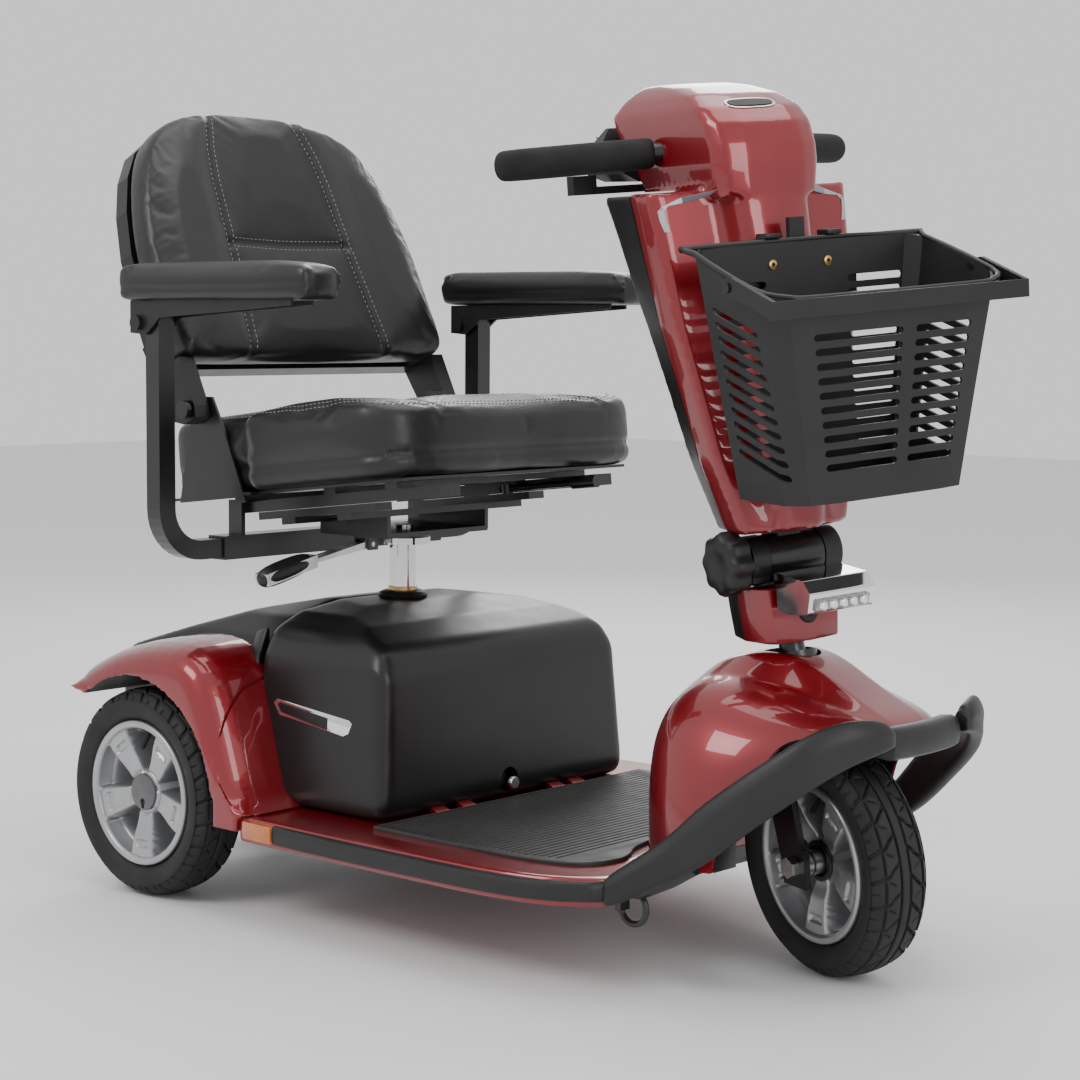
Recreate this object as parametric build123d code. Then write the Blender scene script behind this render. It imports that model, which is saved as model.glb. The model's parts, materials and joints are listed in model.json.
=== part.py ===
from build123d import *
import os, math

# ---------------------------------------------------------------- driving dimensions (mm)
X0 = 36.85             # shift that puts the bounding box centre on X = 0
WHEEL_R = 127.0        # 10 inch tyres
TYRE_W = 76.0
RIM_R = 87.5
REAR_X = -450.0        # rear axle
REAR_Y = 258.0         # half track
FRONT_X = 366.0        # front axle
RAKE = 14.75           # steering axis leans back
STEER = -19.4          # steering angle at rest, to the rider's right
STEER_Z = 130.0        # a point of the steering axis, above FRONT_X
TILT_X, TILT_Z = 302.0, 450.0   # tiller tilt axis
DECK_Z = 126.0
POST_X = -286.0        # seat post axis
SEAT_TILT = 6.5        # seat pan rises to the front
SEAT_Z = 460.0         # seat datum above the post
SEAT_W = 228.0         # half width of the seat
RECLINE = 24.0
HINGE_X, HINGE_Z = -425.0, 591.0     # backrest hinge
ARM_X, ARM_Y = -418.0, 276.0         # armrest tubes
PIV_X, PIV_Z = -437.0, 695.0         # armrest flip pivot
COVER_TOP = 356.0

os.makedirs("parts", exist_ok=True)
NODES = {}


def bx(x0, x1, y0, y1, z0, z1):
    return Pos((x0 + x1) / 2, (y0 + y1) / 2, (z0 + z1) / 2) * Box(abs(x1 - x0), abs(y1 - y0), abs(z1 - z0))


def cy(p, q, r):
    v = Vector(*q) - Vector(*p)
    return Plane(origin=p, z_dir=v) * Cylinder(r, v.length, align=(Align.CENTER, Align.CENTER, Align.MIN))


def ring(p, q, ro, ri):
    v = (Vector(*q) - Vector(*p)).normalized()
    a = Vector(*p) - v * 1
    b = Vector(*q) + v * 1
    return cy(p, q, ro) - cy(tuple(a), tuple(b), ri)


def face(pts):
    return Face(Wire.make_polygon([Vector(*p) for p in pts], close=True))


def ex_y(pts, y0, y1):
    return Part() + Solid.extrude(face([(x, y0, z) for x, z in pts]), Vector(0, y1 - y0, 0))


def ex_z(pts, z0, z1):
    return Part() + Solid.extrude(face([(x, y, z0) for x, y in pts]), Vector(0, 0, z1 - z0))


def ex_x(pts, x0, x1):
    return Part() + Solid.extrude(face([(x0, y, z) for y, z in pts]), Vector(x1 - x0, 0, 0))


def lo(sections):
    return Part() + Solid.make_loft([Wire.make_polygon([Vector(*p) for p in s], close=True) for s in sections], True)


def mir(s):
    return mirror(s, Plane.XZ)


def soft(s, r, sel=None):
    try:
        e = s.edges() if sel is None else sel(s)
        return Part() + fillet(e, r)
    except Exception:
        return s


def node(name, *shapes):
    sol = []
    for s in shapes:
        sol += list(s.solids())
    NODES[name] = sol


def steer(s):
    return s.rotate(Axis((FRONT_X, 0, STEER_Z), (-math.sin(math.radians(RAKE)), 0, math.cos(math.radians(RAKE)))), STEER)


def on_axis(s):
    return (FRONT_X - s * math.sin(math.radians(RAKE)), 0, STEER_Z + s * math.cos(math.radians(RAKE)))


def seat(s):
    """seat frame coordinates (x forward of the post, z above the datum) to the part frame"""
    return (Pos(POST_X, 0, SEAT_Z) * Rot(0, -SEAT_TILT, 0)) * s


def back(s):
    """backrest coordinates: x forward normal, z up along the back, origin on the hinge axis"""
    return (Pos(HINGE_X, 0, HINGE_Z) * Rot(0, -RECLINE, 0)) * s


# ---------------------------------------------------------------- wheels
def wheel_tyre():
    w = TYRE_W / 2
    pts = [(RIM_R + 0.5, w - 12), (RIM_R + 12, w - 3), (108, w), (119, w - 6), (WHEEL_R - 1.5, w - 20), (WHEEL_R, 0)]
    prof = pts + [(r, -y) for r, y in pts[-2::-1]]
    return Part() + revolve(face([(r, y, 0) for r, y in prof]), Axis.Y, 360)


def wheel_rim(bore):
    w = TYRE_W / 2
    r = RIM_R + 0.5
    prof = [(r, w - 12), (r + 3, w - 5), (r - 6, w - 5), (r - 10, w - 14), (r - 10, -w + 12), (r - 4, -w + 5), (r + 3, -w + 5), (r, -w + 12)]
    rim = Part() + revolve(face([(a, b, 0) for a, b in prof]), Axis.Y, 360)
    rim += cy((0, -22, 0), (0, w - 4, 0), 27)
    for i in range(5):
        sp = bx(20, r - 7, 12, 30, -15, 15)
        rim += sp.rotate(Axis.Y, i * 72 + 18)
    rim -= cy((0, -60, 0), (0, 60, 0), bore)
    return rim


SHAFT = 12.0
for side, sg in (("left", 1), ("right", -1)):
    ty, ri = wheel_tyre(), wheel_rim(SHAFT)
    # the axle shaft is keyed into the rim's hub and turns with it
    sh = cy((0, -110, 0), (0, 33, 0), SHAFT)
    loc = Pos(REAR_X, REAR_Y * sg, WHEEL_R)
    if sg < 0:
        ty, ri, sh = mir(ty), mir(ri), mir(sh)
    node("rear_tyre_" + side, loc * ty)
    node("rear_rim_" + side, loc * ri, loc * sh)

fl = Pos(FRONT_X, 0, WHEEL_R)
node("front_tyre", steer(fl * wheel_tyre()))
frim = wheel_rim(14.0)
hub = ring((0, -32, 0), (0, -21, 0), 24, 14.0)
node("front_rim", steer(fl * (frim + hub)))

# ---------------------------------------------------------------- front fork, axle, steering column
leg = []
for sg in (1, -1):
    a = bx(FRONT_X - 19, FRONT_X + 19, 44 * sg, 52 * sg, 105, 147)
    t = on_axis(140)
    l = ex_y([(FRONT_X - 19, 120), (FRONT_X + 19, 120), (t[0] + 20, t[2] + 6), (t[0] - 24, t[2] - 2)], 44 * sg, 52 * sg)
    leg.append(a + l)
p0, p1, p2 = on_axis(139), on_axis(151), on_axis(300)
crown = Plane(origin=on_axis(145), z_dir=Vector(*p1) - Vector(*p0), x_dir=(math.cos(math.radians(RAKE)), 0, math.sin(math.radians(RAKE)))) * Box(44, 104, 12)
fork = crown + leg[0] + leg[1] + cy(p0, p2, 14)
fork -= cy((FRONT_X, -60, WHEEL_R), (FRONT_X, 60, WHEEL_R), 8.0)
node("front_fork", steer(fork))
axle = cy((FRONT_X, -43.8, WHEEL_R), (FRONT_X, 43.8, WHEEL_R), 8.0)
# spacers on the axle between hub and fork, wheel bearings, hex heads
bear = ring((FRONT_X, -32, WHEEL_R), (FRONT_X, 33.5, WHEEL_R), 13.95, 8.0)
sp = [ring((FRONT_X, 33.7 * s, WHEEL_R), (FRONT_X, 43.9 * s, WHEEL_R), 13, 8.0) for s in (1, -1)]
hexs = []
for s in (1, -1):
    h = Plane(origin=(FRONT_X, 52 * s, WHEEL_R), z_dir=(0, s, 0)) * extrude(RegularPolygon(12, 6), 9)
    hexs.append(h + cy((FRONT_X, 43.8 * s, WHEEL_R), (FRONT_X, 53 * s, WHEEL_R), 8.0))
node("front_axle", steer(axle + hexs[0] + hexs[1]), steer(bear), steer(sp[0]), steer(sp[1]))
hb = []
for s in (164, 212):
    hb.append(ring(on_axis(s), on_axis(s + 10), 21, 14.05))
node("head_bearings", hb[0], hb[1])

# ---------------------------------------------------------------- chassis frame
T = 30
MEM = []


def member(q):
    """adds a frame member, cut back where it is welded to the members before it"""
    q = Part() + q
    for k in MEM:
        bb, kb = q.bounding_box(), k.bounding_box()
        if bb.min.X < kb.max.X and kb.min.X < bb.max.X and bb.min.Y < kb.max.Y and kb.min.Y < bb.max.Y and bb.min.Z < kb.max.Z and kb.min.Z < bb.max.Z:
            q = q - k
    for k in q.solids():
        if k.volume > 5:
            MEM.append(Part() + k)


mast = cy((POST_X, 0, 86), (POST_X, 0, 345), 22) - cy((POST_X, 0, 120), (POST_X, 0, 360), 16.6)
member(mast)
for s in (1, -1):
    member(bx(-560, 215, (95 - 15) * s, (95 + 15) * s, 84, 110))
for x in (-545, -370, -250, -110, 60, 190):
    member(bx(x - 13, x + 13, -80, 80, 84 if x < -500 else 86, 92 if x < -500 else 108))
member(bx(-312, -263, 22, 80, 86, 108))
member(bx(-312, -263, -80, -22, 86, 108))
member(bx(-263.5, -262.5, -80, 80, 86, 108))
for s in (1, -1):
    member(bx(-175, -149, 110 * s, 262 * s, 90, 112))
    member(bx(47, 73, 110 * s, 262 * s, 90, 112))
member(ex_y([(POST_X - 27, 108), (POST_X - 20, 108), (POST_X - 20, 250), (POST_X - 22, 250)], -4, 4))
for s in (1, -1):
    member(ex_x([(60 * s, 108), (20 * s, 108), (20 * s, 250), (22 * s, 250)], POST_X - 4, POST_X + 4))
hd = cy(on_axis(164), on_axis(222), 26) - cy(on_axis(150), on_axis(240), 21.0)
member(hd)
member(bx(192, 222, -20, 20, 90, 235))
member(ex_y([(192, 235), (222, 235), (250, 285), (236, 318), (192, 255)], -20, 20))
member(ex_y([(250, 285), (308, 300), (300, 330), (236, 318)], -20, 20) - cy(on_axis(150), on_axis(240), 23.0))
# rear uprights that carry the transaxle, seat of the tail cover, anti-tip brackets
for s in (1, -1):
    member(bx(-475, -425, min(84 * s, 92 * s), max(84 * s, 92 * s), 84, 175))
    member(bx(-628, -550, min(84 * s, 92 * s), max(84 * s, 92 * s), 60, 110))
# deck front cross member that the bumper bolts to
member(bx(200, 215, -205, 205, 96, 110))
for s in (1, -1):
    member(bx(47, 240, 190 * s, 205 * s, 98, 110))
    member(bx(232, 240, 190 * s, 205 * s, 84, 98))
    for k in range(8):
        u, v = math.radians(45 * k), math.radians(45 * k + 45)
        wedge = ex_y([(252, 88), (252 + 40 * math.cos(u), 88 + 40 * math.sin(u)), (252 + 40 * math.cos(v), 88 + 40 * math.sin(v))], 198 * s - 6, 198 * s + 6)
        member((Pos(252, 198 * s, 88) * Rot(90, 0, 0) * Torus(17, 3.5)) & wedge)
fr = Part()
for k in MEM:
    fr += k
tx = cy((REAR_X, -62, WHEEL_R), (REAR_X, 62, WHEEL_R), 46)
tx += cy((REAR_X, -205, WHEEL_R), (REAR_X, 205, WHEEL_R), 21)
tx += cy((REAR_X - 46, 0, WHEEL_R + 8), (REAR_X - 20, 0, WHEEL_R + 8), 40)
tx -= cy((REAR_X, -240, WHEEL_R), (REAR_X, 240, WHEEL_R), SHAFT + 0.06)
for s in (1, -1):
    tx -= bx(-480, -420, 83.5 * s, 92.5 * s, 80, 180)
tx -= fr
txp = [q for q in tx.solids()]
node("transaxle", *[Part() + q for q in txp])
node("drive_motor", cy((REAR_X - 46.5, 0, WHEEL_R + 8), (REAR_X - 118, 0, WHEEL_R + 8), 42), cy((REAR_X - 118.5, 0, WHEEL_R + 8), (REAR_X - 142, 0, WHEEL_R + 8), 34))
member(bx(-515, -495, 84, 92, 110, 195))
member(cy((-505, 92, 185), (-505, 114, 185), 4.0))
fw = cy((-505, 92.5, 185), (-505, 110, 185), 9) + bx(-511, -499, 100, 108, 180, 238) + cy((-505, 104, 236), (-505, 104, 250), 9)
fw -= cy((-505, 80, 185), (-505, 120, 185), 4.06)
node("freewheel_lever", fw)
bat = [soft(bx(-262, -122, 7, 190, 113, 282), 4), soft(bx(-262, -122, -190, -7, 113, 282), 4)]
terms = [cy((x, y, 282), (x, y, 292), 7) for x in (-245, -140) for y in (35, 165, -35, -165)]
node("batteries", bat[0] + terms[0] + terms[1] + terms[4] + terms[5], bat[1] + terms[2] + terms[3] + terms[6] + terms[7])
node("motor_controller", bx(-398, -326, -70, 70, 118, 168))
at = []
for s in (1, -1):
    at.append(ring((-608, 94 * s, 42), (-608, 116 * s, 42), 26, 5.05))
    at[-1] = soft(at[-1], 0.0) if False else at[-1]
ax_at = cy((-608, -117, 42), (-608, 117, 42), 5.05)
for s in (1, -1):
    member(bx(-628, -588, min(84 * s, 92 * s), max(84 * s, 92 * s), 28, 60))
pin = cy((-608, -130, 42), (-608, 130, 42), 5.12)
MEM = [(k - pin) if k.bounding_box().min.X < -600 else k for k in MEM]
node("main_frame", *MEM)
node("anti_tip_wheels", at[0], at[1], ax_at)

# ---------------------------------------------------------------- deck, mat, trim
deck_out = [(-262, 292), (-60, 296), (110, 294), (190, 282), (245, 248), (275, 226), (255, 180), (215, 150)]
dk = deck_out + [(x, -y) for x, y in deck_out[::-1]]
din = [(-254, 284), (-60, 288), (108, 286), (186, 274), (240, 240), (262, 220), (246, 184), (207, 142)]
dkin = din + [(x, -y) for x, y in din[::-1]]
deck = ex_z(dk, 98, DECK_Z) - ex_z(dkin, 90, DECK_Z - 8)
deck -= bx(-300, -232, -230, 230, 90, 140)
# relief for the frame's neck and the batteries
deck -= bx(-264, -120, -192, 192, 100, 140)
deck -= bx(176, 260, -24, 24, 80, 140)
deck -= fr
deck = Part() + sorted(deck.solids(), key=lambda k: -k.volume)[0]
node("deck_shroud", deck - bx(-400, 400, -400, 400, 60, DECK_Z - 8), deck - bx(-400, 400, -400, 400, DECK_Z - 8, 200))
mat = ex_z([(-98, 236), (110, 236), (200, 215), (212, 176), (212, -176), (200, -215), (110, -236), (-98, -236)], DECK_Z + 0.2, DECK_Z + 4.2)
mat -= ex_z([(183, 72), (197, 113), (236, 149), (262, 167), (262, -167), (236, -149), (197, -113), (183, -72)], 100, 150)
node("floor_mat", mat)


def off(p, d):
    return [(x, y + d) if x < 190 else (x + d * 0.7, y + d * 0.7) for x, y in p]


so = [(-196, 292.8)] + deck_out[1:5]
tr = []
for s in (1, -1):
    inner = [(x, (y + 0.3) * s) for x, y in so]
    outer = [(x + (4 if x > 150 else 0), (y + 9) * s) for x, y in so]
    tr.append(ex_z(inner + outer[::-1], 102, 124) - deck)
node("side_trim_strips", tr[0], tr[1])
rf = []
for s in (1, -1):
    rf.append(bx(-252, -200, 293 * s, 302 * s, 102, 124) - deck)
lamps = [bx(-618, -608, 95 * s, 165 * s, 225, 262) for s in (1, -1)]
node("reflectors_and_lamps", rf[0], rf[1], lamps[0], lamps[1])

# ---------------------------------------------------------------- hood over the front wheel
def clearance(r):
    return Pos(FRONT_X, 0, WHEEL_R) * Sphere(r) + cy(on_axis(0), on_axis(163.5), 66) + bx(FRONT_X - 100, FRONT_X + 120, -r + 8, r - 8, 60, WHEEL_R)


hs = [(184, 131), (262, 131), (292, 176), (322, 236), (380, 262), (452, 262), (458, 285), (440, 300), (290, 348), (262, 345), (228, 326), (204, 296), (186, 210)]
hood = ex_y(hs, -200, 200)
hood &= ex_z([(184, 70), (198, 112), (236, 148), (262, 166), (300, 174), (345, 160), (420, 112), (462, 70), (462, -70), (420, -112), (345, -160), (300, -174), (262, -166), (236, -148), (198, -112), (184, -70)], 100, 400)
hood &= ex_x([(-180, 100), (-176, 180), (-140, 268), (-80, 320), (-34, 350), (34, 350), (80, 320), (140, 268), (176, 180), (180, 100)], 170, 480)
hin = ex_y([(190, 120), (258, 120), (287, 176), (316, 240), (378, 268), (440, 266), (438, 281), (428, 290), (290, 340), (266, 338), (234, 320), (210, 292), (191, 208)], -200, 200)
hin &= ex_z([(190, 68), (203, 107), (240, 142), (265, 160), (300, 168), (342, 154), (416, 106), (448, 66), (448, -66), (416, -106), (342, -154), (300, -168), (265, -160), (240, -142), (203, -107), (190, -68)], 90, 400)
hin &= ex_x([(-174, 90), (-170, 180), (-134, 262), (-74, 313), (-30, 343), (30, 343), (74, 313), (134, 262), (170, 180), (174, 90)], 170, 480)
hood = hood - hin - clearance(141) - cy(on_axis(150), on_axis(260), 27)
hood -= bx(290, 460, -200, 200, 100, 236)
hood -= fr
hsol = sorted(hood.solids(), key=lambda q: -q.volume)
node("front_hood", Part() + hsol[0])

# ---------------------------------------------------------------- bumper: two wings and a centre
wing = [(262, 243, 100, 140), (309, 226, 126, 176), (349, 212, 149, 214), (397, 193, 189, 252), (440, 167, 226, 284), (473, 128, 252, 300), (487, 84, 262, 298)]
sec = []
for i, (x, y, zb, zt) in enumerate(wing):
    a = wing[max(i - 1, 0)]
    b = wing[min(i + 1, len(wing) - 1)]
    tx_, ty_ = b[0] - a[0], b[1] - a[1]
    L = math.hypot(tx_, ty_)
    nx, ny = ty_ / L, -tx_ / L       # inward normal
    w = 20
    sec.append([(x, y, zb + 8), (x + nx * 3, y + ny * 3, zt), (x + nx * w, y + ny * w, zt - 2), (x + nx * w, y + ny * w, zb)])
w1 = lo(sec)
cen = ex_z([(484, 60), (490, 30), (490, -30), (484, -60), (464, -60), (467, 0), (464, 60)], 254, 288)
w1 -= ex_z(dk, 80, 127.5)
w1 -= bx(200, 300, 180, 210, 80, 112)
w1 = Part() + sorted(w1.solids(), key=lambda k: -k.volume)[0]
node("front_bumper", w1, mir(w1), cen)

# ---------------------------------------------------------------- rear bodywork
arc = [(REAR_X + 147 * math.cos(math.radians(a)), WHEEL_R + 147 * math.sin(math.radians(a))) for a in range(-8, 136, 9)]
fo = [(-572, 248), (-548, 280), (-492, 303), (-420, 317), (-362, 317), (-322, 292), (-296, 236), (-268, 152), (-246, 127), (-264, 127), (-264, 107)]
cs = [(-323, 126.3), (-106, 126.3), (-103, 145), (-112, 300), (-126, 326), (-180, 343), (-250, 356), (-323, 360)]
cp = [(-219, 120), (-214, 180), (-206, 300), (-190, 334), (-150, 352), (-60, 362), (60, 362), (150, 352), (190, 334), (206, 300), (214, 180), (219, 120)]
cov_out = ex_y(cs, -230, 230) & ex_x(cp, -340, -90)
cov = cov_out
ci = [(-330, 120), (-112, 120), (-109, 145), (-117, 298), (-130, 320), (-180, 338), (-250, 351), (-330, 355)]
cpi = [(y * 0.975, z - (0 if z < 290 else 5)) for y, z in cp]
cov -= ex_y(ci, -230, 230) & ex_x([(y, z if z > 130 else 100) for y, z in cpi], -345, -90)
cov -= cy((POST_X, 0, 330), (POST_X, 0, 380), 30)
fen = []
for s in (1, -1):
    f = ex_y(fo + arc, 191 * s, 298 * s)
    f -= bx(-480, -420, 80 * s, 190 * s, 0, 400)
    fi = ex_y([(-560, 240), (-543, 272), (-490, 296), (-420, 310), (-365, 310), (-328, 288), (-303, 236), (-276, 158), (-268, 130), (-300, 100), (-450, 127)], 190 * s, 291 * s) - cy((REAR_X, 180 * s, WHEEL_R), (REAR_X, 300 * s, WHEEL_R), 153)
    f -= fi
    f -= cov_out
    f -= fr
    q = sorted(f.solids(), key=lambda k: -k.volume)
    fen.append(Part() + q[0])
node("rear_fenders", fen[0], fen[1])

for yy in (62, -62):
    cov -= cy((-112, yy, 150), (-94, yy, 150), 4.2) + cy((-94, yy, 150), (-80, yy, 150), 8.2)
node("battery_cover", cov)
rs = [(-323.4, 126.3), (-323.4, 359.5), (-400, 345), (-500, 312), (-590, 284), (-607, 268), (-607, 205), (-590, 196), (-590, 180), (-330, 180), (-330, 126.3)]
rp = [(-190.6, 100), (-190.6, 292), (-150, 340), (-60, 361), (60, 361), (150, 340), (190.6, 292), (190.6, 100)]
rc = ex_y(rs, -200, 200) & ex_x(rp, -640, -300)
ri_ = ex_y([(-322, 100), (-322, 354), (-400, 340), (-500, 307), (-588, 279), (-602, 266), (-602, 100)], -200, 200) & ex_x([(-186, 90), (-186, 290), (-148, 335), (-60, 356), (60, 356), (148, 335), (186, 290), (186, 90)], -640, -300)
rc -= ri_
q = sorted(rc.solids(), key=lambda k: -k.volume)
node("rear_cover", Part() + q[0])

scr = []
for s in (1, -1):
    scr.append(cy((-104, 62 * s, 150), (-94, 62 * s, 150), 4) + cy((-94, 62 * s, 150), (-84, 62 * s, 150), 8))
    scr.append(cy((240, 256 * s, 113), (240, 264 * s, 113), 7))
    scr.append(cy((-560, 150 * s, 297), (-560, 150 * s, 303), 5))
node("body_screws", scr[0], scr[3])

# ---------------------------------------------------------------- lower tiller (turns with the fork)
c0, c1 = on_axis(236), on_axis(301)
col = [
    [(262, -40, 363), (262, 40, 363), (296, 52, 363), (334, 42, 363), (342, 0, 363), (334, -42, 363), (296, -52, 363)],
    [(256, -46, 428), (256, 46, 428), (290, 58, 428), (330, 50, 428), (340, 0, 428), (330, -50, 428), (290, -58, 428)]]
lc = lo(col) - lo([[(298 + (x - 298) * 0.88, y * 0.88, z - 6) for x, y, z in col[0]], [(298 + (x - 298) * 0.88, y * 0.88, z + 6) for x, y, z in col[1]]])
lc -= bx(TILT_X - 34.5, TILT_X - 3.5, -20.5, 20.5, 404, 440)
for q in (1, -1):
    lc -= cy((TILT_X, 35.4 * q, TILT_Z), (TILT_X, 58.6 * q, TILT_Z), 27.5)
lc = Part() + sorted(lc.solids(), key=lambda k: -k.volume)[0]
node("lower_tiller_cover", steer(lc))
blk = bx(TILT_X - 34, TILT_X + 22, -58, 58, 428.5, 446) + cy((TILT_X, -58, TILT_Z), (TILT_X, -36, TILT_Z), 27) + cy((TILT_X, 36, TILT_Z), (TILT_X, 58, TILT_Z), 27)
blk += bx(TILT_X - 34, TILT_X - 4, -20, 20, 405, 430)
blk -= cy((TILT_X, -36, TILT_Z), (TILT_X, 36, TILT_Z), 31)
blk -= cy(on_axis(240), on_axis(301), 14)
blk -= cy((TILT_X, -70, TILT_Z), (TILT_X, 70, TILT_Z), 7.0)
# the threaded tilt bolt is held fast in the block; the tiller's knuckle turns on it
bolt = cy((TILT_X, -80, TILT_Z), (TILT_X, 62, TILT_Z), 7.0)
brk = ex_y([(338, 400), (352, 396), (366, 408), (366, 432), (358, 432), (350, 416), (338, 420)], -16, 16)
bq = sorted(blk.solids(), key=lambda k: -k.volume)
node("tiller_hinge_block", steer(Part() + bq[0]), steer(bolt))
lamp = ex_y([(362, 398), (398, 402), (404, 424), (392, 437), (340.6, 441), (340.6, 402)], -42, 42)
lamp = soft(lamp, 4, lambda q: q.edges().filter_by(Axis.Y))
lens = ex_y([(398.6, 404), (402.6, 405.4), (405.6, 416), (401.8, 417)], -34, 34)
lamp -= lens
lamp -= bx(330, 344, -50, 50, 390, 426.2)
lq = sorted(lamp.solids(), key=lambda k: -k.volume)
node("headlight_housing", steer(Part() + lq[0]))
node("headlight_lens", steer(lens))

# ---------------------------------------------------------------- tilting tiller
def tz(z):      # centre line of the post
    return TILT_X - 0.263 * (z - TILT_Z)


post = cy((TILT_X, -35, TILT_Z), (TILT_X, 35, TILT_Z), 26)
post += ex_y([(TILT_X - 15, 452), (TILT_X + 16, 452), (tz(868) + 16, 868), (tz(868) - 15, 868)], -15, 15) + bx(192, 216, -15, 15, 862, 877)
post += bx(tz(760), 357, -14, 14, 735, 765) + bx(348, 357, -70, 70, 730, 770)
post += bx(tz(600), 357, -12, 12, 590, 606) + bx(352, 357, -40, 40, 585, 612)
post -= cy((TILT_X, -60, TILT_Z), (TILT_X, 60, TILT_Z), 7.06)
node("tiller_post", steer(post))


def hexs_(z, xf, xc, hw, xr, hs_):
    """front spine x, outer front corner x, half width, rear x, spine half width"""
    return [(xr, -hw + 12, z), (xc - 30, -hw, z), (xc, -hw + 2, z), (xf - 8, -hs_, z), (xf, -hs_ * 0.6, z), (xf, hs_ * 0.6, z), (xf - 8, hs_, z), (xc, hw - 2, z), (xc - 30, hw, z), (xr, hw - 12, z)]


outs = [hexs_(487, 344, 330, 70, 262, 30), hexs_(560, 345, 318, 92, 246, 34), hexs_(700, 340, 296, 116, 214, 38), hexs_(845, 318, 272, 128, 158, 44)]
out = lo(outs)
inn = lo([[(x * 0.92 + xo, y * 0.94, z + dz) for x, y, z in s] for s, xo, dz in zip(outs, (24, 23.5, 22, 18), (-1, 0, 0, 1))])
lip = Part() + sorted((out - inn).solids(), key=lambda k: -k.volume)[0]
head = [
    [(158, -62, 845.3), (158, 62, 845.3), (300, 60, 845.3), (318, 30, 845.3), (318, -30, 845.3), (300, -60, 845.3)],
    [(120, -66, 890), (120, 66, 890), (280, 60, 890), (304, 30, 890), (304, -30, 890), (280, -60, 890)],
    [(92, -66, 926), (92, 66, 926), (235, 56, 926), (272, 28, 926), (272, -28, 926), (235, -56, 926)],
    [(120, -48, 957), (120, 48, 957), (200, 44, 957), (218, 26, 957), (218, -26, 957), (200, -44, 957)]]
hd_ = lo(head)
hdi = lo([[(x * 0.92 + 15, y * 0.92, z + dz) for x, y, z in s] for s, dz in zip(head, (-1, 0, 0, -5))])
hdi2 = hd_ - hdi
hd_ = Part() + sorted(hdi2.solids(), key=lambda k: -k.volume)[0]
# parting line between the front and rear shrouds
cutp = ex_y([(500, 480), (296, 480), (282, 560), (258, 700), (226, 850), (500, 850)], -200, 200)
cutr = ex_y([(100, 480), (295.6, 480), (281.6, 560), (257.6, 700), (225.6, 850), (100, 850)], -200, 200)
fs = lip & cutp
fs -= bx(300, 400, -16, 16, 733, 767) + bx(300, 400, -14, 14, 588, 608)
rsr = lip & cutr
fq = sorted(fs.solids(), key=lambda k: -k.volume)[0]
rq = sorted(rsr.solids(), key=lambda k: -k.volume)[0]
bar_hole = cy((204, -64, 888), (160, -150, 886), 19)
bar_hole = bar_hole + mir(bar_hole)
hd_ -= bx(60, 250, -80, 80, 872, 905) & bx(60, 232, -80, 80, 872, 905)
hq = sorted(hd_.solids(), key=lambda k: -k.volume)
node("tiller_front_shroud", steer(Part() + fq), *[steer(Part() + k) for k in hq[:1]])
node("tiller_rear_shroud", steer(Part() + rq))
FN = Vector(-0.9227, 0, 0.3863)       # console's rear face, outward normal
FC = Vector(75.5, 0, 899.0)           # a point on that face
con = ex_y([(66, 876), (84, 919), (90, 919), (112, 874), (150, 874), (150, 858), (84, 860)], -84, 84)
con &= ex_x([(-84, 868), (-60, 856), (60, 856), (84, 868), (84, 895), (62, 920), (-62, 920), (-84, 895)], 40, 220)
con -= hd_
cq = sorted(con.solids(), key=lambda k: -k.volume)
con = Part() + cq[0]


def on_face(y, d, dz=0.0):
    p = FC + FN * d + Vector(0.3863, 0, 0.9227) * dz
    return (p.X, y, p.Z)


DIAL_Y, KEY_Y, HORN_Y, LIGHT_Y = 0.0, -44.0, 30.0, 52.0
con -= cy(on_face(DIAL_Y, -9), on_face(DIAL_Y, 2), 4.05)
con -= cy(on_face(KEY_Y, -7), on_face(KEY_Y, 2), 3.05)
for yy in (HORN_Y, LIGHT_Y):
    con -= cy(on_face(yy, -7), on_face(yy, 2), 7.3)
con -= cy((100, 0, 850), (100, 0, 866), 5.05)
con = Part() + sorted(con.solids(), key=lambda k: -k.volume)[0]
node("console", steer(con))
node("speed_dial", steer(cy(on_face(DIAL_Y, 0.4), on_face(DIAL_Y, 11), 14) + cy(on_face(DIAL_Y, -8.6), on_face(DIAL_Y, 1), 4.0)))
kp = Plane(origin=on_face(KEY_Y, 1.0), z_dir=FN, x_dir=(0, 1, 0))
key = cy(on_face(KEY_Y, -6.6), on_face(KEY_Y, 12), 3.0) + kp * (Pos(0, 0, 20) * Box(20, 2.6, 20)) - kp * (Pos(0, 0, 24) * Rot(90, 0, 0) * Cylinder(4, 10))
node("key", steer(key))
for nm, yy in (("horn_button", HORN_Y), ("light_button", LIGHT_Y)):
    node(nm, steer(cy(on_face(yy, -3.5), on_face(yy, 3.5), 7.0)))
thr = bx(90, 108, -96, 96, 847, 855.5) + bx(92, 106, 92, 122, 847, 868) + bx(92, 106, -122, -92, 847, 868) + cy((100, 0, 850), (100, 0, 865.5), 5.0)
node("throttle_lever", steer(thr))

BA, BB = Vector(206, 40, 888.5), Vector(126, 217, 883)


def bar_p(t, dy=1):
    p = BA + (BB - BA) * t
    return (p.X, p.Y * dy, p.Z)


barL = cy(bar_p(-0.02), bar_p(1.0), 11)
bar = barL + mir(barL) + cy((206, -40, 888.5), (206, 40, 888.5), 11)
node("handlebar", steer(bar))
g = cy(bar_p(0.17), bar_p(1.06), 17) - cy(bar_p(-0.1), bar_p(1.0), 11)
g = soft(g, 6, lambda q: q.edges().group_by(Axis.Y)[-1])
node("handlebar_grips", steer(g), steer(mir(g)))

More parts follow.
